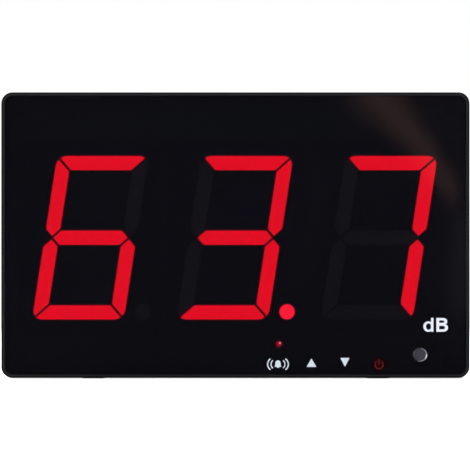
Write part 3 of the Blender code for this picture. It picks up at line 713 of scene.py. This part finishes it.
for name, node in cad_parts.items():
    material = finish_of(name)
    if not node.material_slots:
        node.data.materials.append(material)
    for slot in node.material_slots:
        slot.material = material
print("parts dressed:", len(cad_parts))

# %% [markdown]
# ## Making shapes
# Most new pieces start as flat outlines. `plate` fills a set of closed loops, the first the outside and
# the rest holes, and extrudes the result. A small bevel rounds the front rim, because a dead sharp edge
# never catches light. `turned` spins a profile about a line that points at the viewer.

# %% Outline helpers


def arc(centre, radius, start, end, steps=12, squash=1.0):
    """Points on an arc, angles in degrees; `squash` scales the height."""
    points = []
    for step in range(steps + 1):
        angle = math.radians(start + (end - start) * step / steps)
        points.append((centre[0] + radius * math.cos(angle), centre[1] + squash * radius * math.sin(angle)))
    return points


def ring(centre, radius, steps=64, squash=1.0):
    return arc(centre, radius, 0.0, 360.0, steps, squash)[:-1]


def rounded_rectangle(centre, width, height, radius, steps=12):
    points = []
    for turn, (side, level) in enumerate(((1, 1), (-1, 1), (-1, -1), (1, -1))):
        corner = (centre[0] + side * (width / 2 - radius), centre[1] + level * (height / 2 - radius))
        points += arc(corner, radius, 90.0 * turn, 90.0 * turn + 90.0, steps)
    return points


def stroke(centre, radius, start, end, thick, steps=14):
    """The outline of a curved bar."""
    outer = arc(centre, radius + thick / 2, start, end, steps)
    inner = arc(centre, radius - thick / 2, end, start, steps)
    return outer + inner


def moved(points, at, scale=1.0):
    return [(at[0] + scale * x, at[1] + scale * z) for x, z in points]


# %% Solid helpers


def plate(loops, front, back, rim=0.0, segments=3):
    """A solid between two depths, from closed loops of (x, z) points."""
    bm = bmesh.new()
    edges = []
    for loop in loops:
        verts = [bm.verts.new((x, front, z)) for x, z in loop]
        edges += [bm.edges.new(pair) for pair in zip(verts, verts[1:] + verts[:1])]
    bmesh.ops.triangle_fill(bm, use_beauty=True, edges=edges)
    grown = bmesh.ops.extrude_face_region(bm, geom=list(bm.faces))
    far = [v for v in grown["geom"] if isinstance(v, bmesh.types.BMVert)]
    bmesh.ops.translate(bm, vec=(0.0, back - front, 0.0), verts=far)
    bmesh.ops.recalc_face_normals(bm, faces=bm.faces)
    if rim:
        sharp = [e for e in bm.edges if is_front_rim(e, front)]
        bmesh.ops.bevel(bm, geom=sharp, offset=rim, segments=segments, profile=0.5, affect="EDGES",
                        material=-1, clamp_overlap=True)
    return bm


def is_front_rim(edge, front):
    if any(abs(v.co.y - front) > EPSILON for v in edge.verts) or len(edge.link_faces) != 2:
        return False
    return abs(edge.link_faces[0].normal.dot(edge.link_faces[1].normal)) < 0.5


def turned(profile, at=(0.0, 0.0), steps=48):
    """A solid of revolution about a line along Y, from (radius, y) points."""
    bm = bmesh.new()
    verts = [bm.verts.new((at[0] + radius, y, at[1])) for radius, y in profile]
    edges = [bm.edges.new(pair) for pair in zip(verts, verts[1:])]
    bmesh.ops.spin(bm, geom=verts + edges, cent=(at[0], 0.0, at[1]), axis=(0.0, 1.0, 0.0),
                   angle=math.tau, steps=steps, use_merge=True)
    bmesh.ops.remove_doubles(bm, verts=bm.verts, dist=0.002 * MM)
    bmesh.ops.recalc_face_normals(bm, faces=bm.faces)
    return bm


def together(shapes):
    """Several shapes in one bmesh."""
    whole = bmesh.new()
    carrier = bpy.data.meshes.new("carrier")
    for shape in shapes:
        shape.to_mesh(carrier)
        whole.from_mesh(carrier)
        shape.free()
    bpy.data.meshes.remove(carrier)
    return whole


def piece(name, bm, material, body="casing", stands_for=(), smooth=35.0):
    """Turn a bmesh into a finished piece that rides on a body of the model.

    Faces that look straight forward or back are shaded flat, so a round rim can't bend their mirror image.
    """
    mesh = mesh_from(name, bm, material)
    mesh.shade_smooth()
    mesh.set_sharp_from_angle(angle=math.radians(smooth))
    for polygon in mesh.polygons:
        if abs(polygon.normal.y) > 0.9999:
            polygon.use_smooth = False
    made = link_object(name, mesh)
    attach(made, body)
    if stands_for:
        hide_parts(*stands_for)
    return made


# %% [markdown]
# ## The panel
# One sheet with a ground edge all round and two drilled holes. The rim is bevelled, because a cut edge
# of acrylic is always eased.

# %% The panel
MICROPHONE_AT = on_front(85.7, -55.4)
ALARM_AT = on_front(20.2, -50.4)
MICROPHONE_HOLE = 3.36 * MM
ALARM_HOLE = 1.72 * MM
PANEL_CORNER = 3.4 * MM
PANEL_RIM = 0.2 * MM

panel_outline = rounded_rectangle((panel_mid.x, panel_mid.z), panel_high.x - panel_low.x,
                                  panel_high.z - panel_low.z, PANEL_CORNER)
piece("panel_sheet",
      plate([panel_outline, ring(MICROPHONE_AT, MICROPHONE_HOLE), ring(ALARM_AT, ALARM_HOLE, 40)],
            PANEL_FRONT, PANEL_BACK, PANEL_RIM),
      panel_acrylic, stands_for=["front_panel"])
print("panel thickness in mm:", round((PANEL_BACK - PANEL_FRONT) / MM, 2))

# %% [markdown]
# ## The digits
# A seven-segment digit is drawn upright, then leaned. The top bar ends in mitres that follow the round
# corners, the four uprights are mitred at one end and pointed at the waist, and the middle bar is
# pointed at both ends. Mirroring three outlines gives all seven.

# %% Digit outlines
DIGIT_HEIGHT = 75.7 * MM
DIGIT_WIDTH = 42.4 * MM
LEAN = math.tan(math.radians(8.75))
BAR = 6.5 * MM
CORNER = 4.6 * MM
MITRE_GAP = 1.1 * MM
WAIST_TIP = 0.9 * MM
MIDDLE_TIP = 17.2 * MM
DOT_RADIUS = 3.5 * MM
DOT_AT = (29.45 * MM, -34.35 * MM)
CORNER_X = DIGIT_WIDTH / 2 - CORNER
CORNER_Z = DIGIT_HEIGHT / 2 - CORNER
ROOT_2 = math.sqrt(2)


def flipped(points, side=1, level=1):
    return [(side * x, level * z) for x, z in points]


def top_bar(grow):
    half_gap = MITRE_GAP / 2 - grow
    radius = CORNER + grow
    inner_z = DIGIT_HEIGHT / 2 - BAR - grow
    inner_x = CORNER_X + inner_z - CORNER_Z - half_gap * ROOT_2
    turn = math.degrees(math.asin(half_gap / radius))
    right = [(inner_x, inner_z)] + arc((CORNER_X, CORNER_Z), radius, 45.0 + turn, 90.0, 8)
    return right + flipped(reversed(right), side=-1)


def upright_bar(grow):
    half_gap = MITRE_GAP / 2 - grow
    radius = CORNER + grow
    inner_x = DIGIT_WIDTH / 2 - BAR - grow
    outer_x = DIGIT_WIDTH / 2 + grow
    tip_z = WAIST_TIP - grow * ROOT_2
    waist_z = tip_z + BAR / 2 + grow
    turn = math.degrees(math.asin(half_gap / radius))
    top_inner = (inner_x, CORNER_Z + inner_x - CORNER_X - half_gap * ROOT_2)
    waist = [(inner_x, waist_z), ((inner_x + outer_x) / 2, tip_z), (outer_x, waist_z)]
    return [top_inner] + waist + arc((CORNER_X, CORNER_Z), radius, 0.0, 45.0 - turn, 8)


def middle_bar(grow):
    tip = MIDDLE_TIP + grow * ROOT_2
    half = BAR / 2 + grow
    right = [(tip - half, -half), (tip, 0.0), (tip - half, half)]
    return right + flipped(reversed(right), side=-1)


# Each segment: the outline it starts from, and whether that is mirrored left to right or top to bottom.
SEGMENTS = {
    "a": (top_bar, 1, 1),
    "b": (upright_bar, 1, 1),
    "c": (upright_bar, 1, -1),
    "d": (top_bar, 1, -1),
    "e": (upright_bar, -1, -1),
    "f": (upright_bar, -1, 1),
    "g": (middle_bar, 1, 1),
}


def segment_outline(letter, centre, grow=0.0):
    outline, side, level = SEGMENTS[letter]
    return moved([(x + LEAN * z, z) for x, z in flipped(outline(grow), side, level)], centre)


# %% [markdown]
# ### Lit and unlit
# The display reads 63.7. Each digit gets one piece for its lit segments, and one for the unlit segments
# with the plate that carries them all. The last digit has no visible point: its hole is plugged black.
# A light pipe leaks a little into the black face round it; that glow is painted as a thin dull red band that
# frames each lit one.

# %% Lit and unlit segments
READING = ["acdefg", "abcdg", "abc"]
SEGMENT_RIM = 0.12 * MM
BLEED_WIDTH = 0.42 * MM
BLEED_THICK = 0.03 * MM
CARRIER_THICK = 1.0 * MM
CARRIER_CORNER = 1.0 * MM
DOT_PLACE = (DOT_AT[0] + LEAN * DOT_AT[1], DOT_AT[1])


def bleed_shape(outline, grown, front):
    return plate([grown, outline], front - BLEED_THICK, front - BLEED_THICK / 3)


for number, lit in enumerate(READING, 1):
    digit = f"digit_{number}"
    middle, _, _ = box_of(f"{digit}_housing")
    _, carrier_low, carrier_high = box_of(f"{digit}_diffuser")
    centre = (middle.x, middle.z)
    front = carrier_low.y
    back = carrier_high.y - CARRIER_THICK
    dot_centre = moved([DOT_PLACE], centre)[0]
    dot = plate([ring(dot_centre, DOT_RADIUS, 48)], front, back, SEGMENT_RIM, 2)
    carrier = rounded_rectangle(centre, carrier_high.x - carrier_low.x, carrier_high.z - carrier_low.z,
                                CARRIER_CORNER, 4)
    bars = {letter: plate([segment_outline(letter, centre)], front, back, SEGMENT_RIM, 2)
            for letter in SEGMENTS}
    dark = [plate([carrier], back, carrier_high.y)]
    dark += [bars[letter] for letter in SEGMENTS if letter not in lit]
    # Painted glow: a thin dull red band round each lit segment and the lit point.
    bleed = [bleed_shape(segment_outline(letter, centre), segment_outline(letter, centre, BLEED_WIDTH), front)
             for letter in lit]
    if number == 1:
        dark.append(dot)
    piece(f"{digit}_unlit", together(dark), dark_segment, stands_for=[f"{digit}_diffuser"])
    piece(f"{digit}_lit", together([bars[letter] for letter in lit]), lit_segment)
    if number == 2:
        bleed.append(bleed_shape(ring(dot_centre, DOT_RADIUS, 48),
                                 ring(dot_centre, DOT_RADIUS + BLEED_WIDTH, 48), front))
        piece(f"{digit}_point", dot, lit_dot)
    if number == 3:
        piece(f"{digit}_plug", dot, display_face)
    piece(f"{digit}_bleed", together(bleed), leaked_light)
print("digits:", len(READING))

# %% [markdown]
# ## Printed keys
# The keys have no moving caps: a touch on the panel works them, so each is only a mark. They are thin
# raised prints on the panel's face. Every mark is an outline made of lines and arcs, in millimetres.

# %% Key outlines
BELL = ([(-1.75, -1.25), (-1.30, -0.65), (-1.24, 0.45)] + arc((0.0, 0.45), 1.24, 172.0, 8.0, 14)
        + [(1.24, 0.45), (1.30, -0.65), (1.75, -1.25), (0.62, -1.25)]
        + arc((0.0, -1.25), 0.58, -12.0, -168.0, 8) + [(-0.62, -1.25)])
INNER_WAVE = stroke((1.05, -0.1), 2.2, -54.0, 54.0, 0.5)
OUTER_WAVE = stroke((1.8, -0.1), 3.0, -56.0, 56.0, 0.56)
UP = [(-2.25, -1.95), (2.25, -1.95), (0.0, 2.05)]
DOWN = [(-2.15, 2.05), (0.0, -2.1), (2.15, 2.05)]
POWER_RING = stroke((0.0, -0.1), 1.85, 128.0, 412.0, 0.56, 40)
POWER_BAR = rounded_rectangle((0.0, 1.15), 0.6, 2.5, 0.25, 4)

KEYS = {
    "key_alarm": (on_front(19.7, -59.7), [BELL, INNER_WAVE, flipped(INNER_WAVE, side=-1), OUTER_WAVE,
                                          flipped(OUTER_WAVE, side=-1)], key_ink, "legend_white"),
    "key_up": (on_front(35.2, -59.1), [UP], key_ink, "legend_white"),
    "key_down": (on_front(50.7, -58.9), [DOWN], key_ink, "legend_white"),
    "key_power": (POWER_AT, [POWER_RING, POWER_BAR], red_ink, "legend_red"),
}

# %% [markdown]
# ### The unit
# The unit mark is a bold d and B. Strokes are about a fifth of the height, the bowls are ellipses, and
# the counters are holes in the outline.

# %% The unit's outlines
LETTER_D = ([(4.76, 0.0), (4.76, 6.4), (3.58, 6.4)] + arc((2.36, 2.40), 2.34, 57.0, 303.0, 28, 1.04)
            + [(3.62, 0.0)])
COUNTER_D = ring((2.44, 2.4), 1.16, 32, 1.3)
LETTER_B = ([(0.0, 0.0), (0.0, 6.4), (3.2, 6.4)] + arc((3.2, 4.74), 1.86, 88.0, -48.0, 14, 0.86)
            + arc((3.26, 1.86), 2.18, 62.0, -88.0, 16, 0.84) + [(3.2, 0.0)])
UPPER_COUNTER_B = [(1.32, 5.26)] + arc((2.98, 4.7), 0.66, 90.0, -90.0, 8, 0.84) + [(1.32, 4.14)]
LOWER_COUNTER_B = [(1.32, 2.72)] + arc((3.1, 1.93), 0.88, 90.0, -90.0, 8, 0.9) + [(1.32, 1.14)]
UNIT_CORNER = on_front(86.95, -44.75)
B_OFFSET = 6.08

# %% Print the marks
PRINT_THICK = 0.06 * MM


def printed(loops, at, height=PRINT_THICK):
    return plate([moved(loop, at, MM) for loop in loops], PANEL_FRONT - height, PANEL_FRONT - 0.002 * MM)


for name, (at, outlines, ink, slot_name) in KEYS.items():
    piece(name, together([printed([outline], at) for outline in outlines]), ink)

second = (UNIT_CORNER[0] + B_OFFSET * MM, UNIT_CORNER[1])
unit = [printed([LETTER_D, COUNTER_D], UNIT_CORNER),
        printed([LETTER_B, UPPER_COUNTER_B, LOWER_COUNTER_B], second)]
piece("unit_mark", together(unit), unit_ink)
# The thin disc that carries the painted glow round the power key.
halo_disc = printed([ring((0.0, 0.0), HALO_RADIUS / MM, 40)], POWER_AT, 0.02 * MM)
piece("key_power_glow", halo_disc, power_key_painted_glow)
print("marks:", len(KEYS) + 1)

# %% [markdown]
# ## The microphone
# Behind the panel's hole sits a small electret capsule under a woven mesh. The mesh is real wires here:
# each one waves over and under those that cross it. A thin bright rim stands round it, and its inner
# slope mirrors the ring-shaped card, which draws a crescent along its right-hand side.

# %% Microphone mesh
_, mesh_low, mesh_high = box_of("microphone_mesh")
RIM_RADIUS = 3.28 * MM
RIM_INNER = 2.72 * MM
WEAVE_RADIUS = 2.62 * MM
WEAVE_AT = (MICROPHONE_AT[0] - 0.1 * MM, MICROPHONE_AT[1])     # the capsule sits a hair to the left
WIRE_RADIUS = 0.075 * MM
WIRE_PITCH = 0.36 * MM
MESH_Y = mesh_low.y + 0.2 * MM
BACKING_Y = MESH_Y + 0.2 * MM


def wire(offset, across):
    """One wire of the weave; `across` swaps the two directions."""
    half = math.sqrt(WEAVE_RADIUS ** 2 - offset ** 2)
    bm = bmesh.new()
    bmesh.ops.create_circle(bm, cap_ends=True, radius=WIRE_RADIUS, segments=6)
    bmesh.ops.rotate(bm, matrix=Matrix.Rotation(math.radians(90), 3, "Y"), verts=bm.verts)
    steps = max(2, round(2 * half / WIRE_PITCH * 4))
    bmesh.ops.translate(bm, vec=(-half, 0.0, 0.0), verts=bm.verts)
    tip = list(bm.faces)
    for step in range(steps):
        grown = bmesh.ops.extrude_face_region(bm, geom=tip)
        verts = [v for v in grown["geom"] if isinstance(v, bmesh.types.BMVert)]
        tip = [f for f in grown["geom"] if isinstance(f, bmesh.types.BMFace)]
        bmesh.ops.translate(bm, vec=(2 * half / steps, 0.0, 0.0), verts=verts)
    row = round(offset / WIRE_PITCH)
    phase = math.pi * (row % 2) + (math.pi if across else 0.0)
    for vert in bm.verts:
        lift = WIRE_RADIUS * math.cos(math.pi * vert.co.x / WIRE_PITCH + phase)
        along, side, depth = vert.co.x, vert.co.z + offset, vert.co.y + lift
        place = (side, along) if across else (along, side)
        vert.co = (WEAVE_AT[0] + place[0], MESH_Y + depth, WEAVE_AT[1] + place[1])
    bmesh.ops.recalc_face_normals(bm, faces=bm.faces)
    return bm


rows = int(WEAVE_RADIUS / WIRE_PITCH)
wires = [wire(row * WIRE_PITCH, across) for row in range(-rows, rows + 1) for across in (False, True)]
backing = turned([(0.0, BACKING_Y), (WEAVE_RADIUS, BACKING_Y), (WEAVE_RADIUS, mesh_high.y),
                  (0.0, mesh_high.y)], WEAVE_AT)
piece("microphone_weave", together(wires + [backing]), mesh_wire,
      stands_for=["microphone_mesh"], smooth=60.0)

# %% Microphone rim
RIM_FRONT = PANEL_FRONT - 0.06 * MM
rim_profile = [(RIM_INNER, MESH_Y + 0.3 * MM), (RIM_INNER, RIM_FRONT + 0.30 * MM),
               (RIM_INNER + 0.04 * MM, RIM_FRONT + 0.255 * MM),
               (RIM_RADIUS - 0.16 * MM, RIM_FRONT + 0.01 * MM),
               (RIM_RADIUS - 0.10 * MM, RIM_FRONT), (RIM_RADIUS, RIM_FRONT + 0.08 * MM),
               (RIM_RADIUS, MESH_Y + 0.3 * MM), (RIM_INNER, MESH_Y + 0.3 * MM)]
piece("microphone_rim", turned(rim_profile, MICROPHONE_AT, 64), rim_metal, smooth=50.0)
print("wires:", len(wires))

# %% [markdown]
# ## The alarm LED
# A 3 mm LED is a turned lens of red resin with a flange, on two leads. Off, it is a deep red bead with a
# faint painted glow, and a painted highlight sits on it as a bright spot. A mask round a point makes it.

# %% The alarm LED
_, led_low, led_high = box_of("alarm_led")
LED_RADIUS = 1.5 * MM
FLANGE_RADIUS = 1.88 * MM
FLANGE_THICK = 0.9 * MM
LEAD_LENGTH = 3.5 * MM
LEAD_RADIUS = 0.25 * MM
LEAD_OFFSET = 0.9 * MM


def led_resin_painted_glow():
    """Clear red resin with a faint painted glow, and a painted highlight a little up and to the right."""
    finish = Finish("led_resin_painted_glow", (0.15, 0.002, 0.010), 0.2, Coat_Weight=0.15, Coat_Roughness=0.12,
                    Specular_IOR_Level=0.2, Subsurface_Weight=0.25, Emission_Strength=1.0,
                    Subsurface_Radius=(0.8 * MM, 0.1 * MM, 0.1 * MM))
    finish.tint(finish.noise(500.0), (0.19, 0.003, 0.014))
    # Painted highlight: a bright spot in the emission, a little up and to the right.
    painted_glint_centre = (ALARM_AT[0] + 0.42 * MM, led_low.y + 0.25 * MM, ALARM_AT[1] + 0.38 * MM)
    painted_glint = finish.around(painted_glint_centre, 0.75 * MM, 0.15 * MM)
    # Outside the spot the emission is a faint painted glow over the whole bead.
    finish.set("Emission Color", finish.mix(painted_glint, (0.09, 0.0, 0.006), (0.90, 0.19, 0.29)))
    return finish.material


shoulder = led_low.y + LED_RADIUS
dome = [(LED_RADIUS * math.sin(math.radians(a)), shoulder - LED_RADIUS * math.cos(math.radians(a)))
        for a in range(0, 91, 6)]
flange_y = led_high.y - LEAD_LENGTH
base_y = flange_y + FLANGE_THICK
lens_profile = dome + [(LED_RADIUS, flange_y), (FLANGE_RADIUS, flange_y), (FLANGE_RADIUS, base_y),
                       (0.0, base_y)]
piece("alarm_led_lens", turned(lens_profile, ALARM_AT), led_resin_painted_glow(), stands_for=["alarm_led"])
lead_top = base_y + 0.02 * MM
leads = [turned([(0.0, lead_top), (LEAD_RADIUS, lead_top), (LEAD_RADIUS, led_high.y), (0.0, led_high.y)],
                (ALARM_AT[0] + side * LEAD_OFFSET, ALARM_AT[1]), 12) for side in (-1, 1)]
piece("alarm_led_leads", together(leads), zinc_steel)
print("LED length in mm:", round((led_high.y - led_low.y) / MM, 1))

# %% [markdown]
# ## Cells and contacts
# They show when the door at the back is open. A cell is a steel can in a shrunk sleeve: the sleeve rolls
# over both shoulders, a silver band marks the end with the button, and bare metal shows at the ends.
# Cells lie on their side, so a profile is spun about Y as usual and then laid over along X.

# %% Battery cells
CELL_COUNT = 4
CELL_RADIUS = 7.1 * MM
CELL_HALF = 25.25 * MM
SHOULDER = CELL_HALF - 1.0 * MM
BAND_THICK = 0.2 * MM
BAND_START = SHOULDER - 15.0 * MM
BAND_END = SHOULDER - 0.6 * MM


def laid_over(bm, side, at):
    """Turn a shape made along Y so that it points to +X or -X, and put it in its place."""
    bmesh.ops.rotate(bm, matrix=Matrix.Rotation(-side * math.radians(90), 3, "Z"), verts=bm.verts)
    bmesh.ops.translate(bm, vec=at, verts=bm.verts)
    return bm


def sleeve(start, end, radius, lip):
    """A closed sleeve whose two edges roll inwards."""
    roll = 0.5 * MM
    inner = radius - 0.3 * MM
    return turned([(lip, start), (radius - roll, start), (radius - 0.15 * MM, start + 0.15 * MM),
                   (radius, start + roll), (radius, end - roll), (radius - 0.15 * MM, end - 0.15 * MM),
                   (radius - roll, end), (lip, end), (lip, end - 0.2 * MM), (inner, end - 0.6 * MM),
                   (inner, start + 0.6 * MM), (lip, start + 0.2 * MM), (lip, start)], steps=40)


CAN = [(0.0, -CELL_HALF + 0.1 * MM), (5.4 * MM, -CELL_HALF + 0.1 * MM), (5.7 * MM, -CELL_HALF + 0.3 * MM),
       (6.6 * MM, -CELL_HALF + 0.5 * MM), (6.6 * MM, SHOULDER - 0.5 * MM), (6.2 * MM, SHOULDER - 0.2 * MM),
       (3.1 * MM, SHOULDER - 0.2 * MM), (2.7 * MM, SHOULDER + 0.1 * MM), (2.65 * MM, CELL_HALF - 0.3 * MM),
       (2.35 * MM, CELL_HALF), (0.0, CELL_HALF)]

sides = {}
for number in range(1, CELL_COUNT + 1):
    node = f"battery_cell_{number}"
    middle, _, _ = box_of(node)
    side = 1 if number % 2 else -1           # the cells alternate; the first one's button points to +X
    sides[number] = side
    wrap = sleeve(-CELL_HALF, SHOULDER, CELL_RADIUS - BAND_THICK / 4, 5.6 * MM)
    band = turned([(CELL_RADIUS - BAND_THICK, BAND_START), (CELL_RADIUS, BAND_START), (CELL_RADIUS, BAND_END),
                   (CELL_RADIUS - BAND_THICK, BAND_END), (CELL_RADIUS - BAND_THICK, BAND_START)], steps=40)
    piece(f"cell_{number}_wrap", laid_over(wrap, side, middle), wrap_blue, stands_for=[node])
    piece(f"cell_{number}_band", laid_over(band, side, middle), wrap_silver)
    piece(f"cell_{number}_can", laid_over(turned(CAN, steps=40), side, middle), zinc_steel)
print("cells:", len(sides))

# %% [markdown]
# ### Springs and buttons
# Each cell stands between a tapered wire spring at its flat end and a pressed button at the other. The
# spin operator makes the spring: it carries a small disc round and along the axis, and the coil is then
# drawn in towards its tip. A strap of sheet metal joins neighbours, and it replaces the model's contact.

# %% Battery contacts
STRAP_X = 29.9 * MM
STRAP_THICK = 0.5 * MM
STRAP_HALF = 4.5 * MM
TIP_GAP = 0.35 * MM
SPRING_WIRE = 0.33 * MM
SPRING_BASE = 3.1 * MM
SPRING_TIP = 1.9 * MM
SPRING_TURNS = 4


def spring(length):
    """A tapered coil along Y from 0 to `length`, its wide end at 0."""
    bm = bmesh.new()
    bmesh.ops.create_circle(bm, cap_ends=True, radius=SPRING_WIRE, segments=8)
    for axis in ("X", "Z", "Y"):
        bmesh.ops.rotate(bm, matrix=Matrix.Rotation(math.radians(90), 3, axis), verts=bm.verts)
    bmesh.ops.translate(bm, vec=(SPRING_BASE, SPRING_WIRE, 0.0), verts=bm.verts)
    steps = 24 * SPRING_TURNS
    rise = (length - 2 * SPRING_WIRE) / steps
    bmesh.ops.spin(bm, geom=list(bm.faces), cent=(0.0, 0.0, 0.0), axis=(0.0, 1.0, 0.0), dvec=(0.0, rise, 0.0),
                   angle=math.tau * SPRING_TURNS, steps=steps)
    for vert in bm.verts:
        reach = math.hypot(vert.co.x, vert.co.z)
        drawn_in = (SPRING_BASE - SPRING_TIP) * vert.co.y / length
        vert.co.x *= (reach - drawn_in) / reach
        vert.co.z *= (reach - drawn_in) / reach
    bmesh.ops.recalc_face_normals(bm, faces=bm.faces)
    return bm


def button(length):
    """A pressed round bump along Y from 0 to `length`."""
    return turned([(0.0, 0.0), (3.2 * MM, 0.0), (2.9 * MM, 0.5 * MM), (2.2 * MM, length - 0.5 * MM),
                   (1.7 * MM, length), (0.0, length)], steps=32)


def strap(side, heights, depth):
    """A flat metal strap against an end wall, with round corners."""
    height = max(heights) - min(heights) + 2 * STRAP_HALF
    centre = (0.0, (max(heights) + min(heights)) / 2)
    flat = plate([rounded_rectangle(centre, 2 * STRAP_HALF, height, 1.2 * MM, 6)], 0.0, STRAP_THICK,
                 0.1 * MM, 2)
    return laid_over(flat, side, (side * (STRAP_X - STRAP_THICK), depth, 0.0))


CONTACTS = {
    "contact_positive": (1, [1]),
    "contact_bridge_1": (-1, [1, 2]),
    "contact_bridge_2": (1, [2, 3]),
    "contact_bridge_3": (-1, [3, 4]),
    "contact_negative": (1, [4]),
}
for name, (side, numbers) in CONTACTS.items():
    places = [box_of(f"battery_cell_{number}")[0] for number in numbers]
    depth = places[0].y
    reach = STRAP_X - STRAP_THICK - CELL_HALF - TIP_GAP
    shapes = [strap(side, [place.z for place in places], depth)]
    for number, place in zip(numbers, places):
        tip = button(reach) if sides[number] == side else spring(reach)
        shapes.append(laid_over(tip, -side, (side * (STRAP_X - STRAP_THICK), depth, place.z)))
    piece(f"{name}_metal", together(shapes), nickel_plate, stands_for=[name])
print("contacts:", len(CONTACTS))

# %% [markdown]
# ## Grips on the back
# A fingertip needs something to push against. The door has low ribs and a plain arrow under its finger
# recess, and the stand has ribs above its notch. They ride on the door and on the stand, so they swing
# with them, and they stay below the back of the casing, so that it can hang flat on a wall.

# %% Grips
RIB_HEIGHT = 0.25 * MM
RIB_SINK = 0.05 * MM
RIB_PITCH = 1.8 * MM
RECESS_DROP = 12.0 * MM          # from the door's top to the lower edge of its finger recess
ARROW_DROP = 15.0 * MM


def rib(centre, length, face, thick=0.8 * MM):
    """A low bar along X on a face that looks back."""
    bar = rounded_rectangle(centre, length, thick, thick / 2 - EPSILON, 6)
    return plate([bar], face + RIB_HEIGHT, face - RIB_SINK, 0.1 * MM, 2)


door_mid, _, door_high = box_of("battery_door")
recess_z = door_high.z - RECESS_DROP
door_ribs = [rib((door_mid.x, recess_z - step * RIB_PITCH), 14.0 * MM, door_high.y) for step in range(1, 6)]
ARROW = [(-2.6, 2.4), (2.6, 2.4), (0.0, -1.8)]
arrow = plate([moved(ARROW, (door_mid.x, recess_z - ARROW_DROP), MM)], door_high.y + RIB_HEIGHT,
              door_high.y - RIB_SINK, 0.1 * MM, 2)
piece("door_grip", together(door_ribs + [arrow]), casing_plastic, body="door")

stand_mid, stand_low, stand_high = box_of("stand_leg")
STAND_FACE = stand_high.y - 0.7 * MM          # the barrel stands this much proud of the leg
stand_ribs = [rib((stand_mid.x, stand_low.z + 10.0 * MM + step * RIB_PITCH), 16.0 * MM, STAND_FACE)
              for step in range(4)]
piece("stand_grip", together(stand_ribs), casing_plastic, body="stand")
print("grips:", len(door_ribs) + len(stand_ribs))
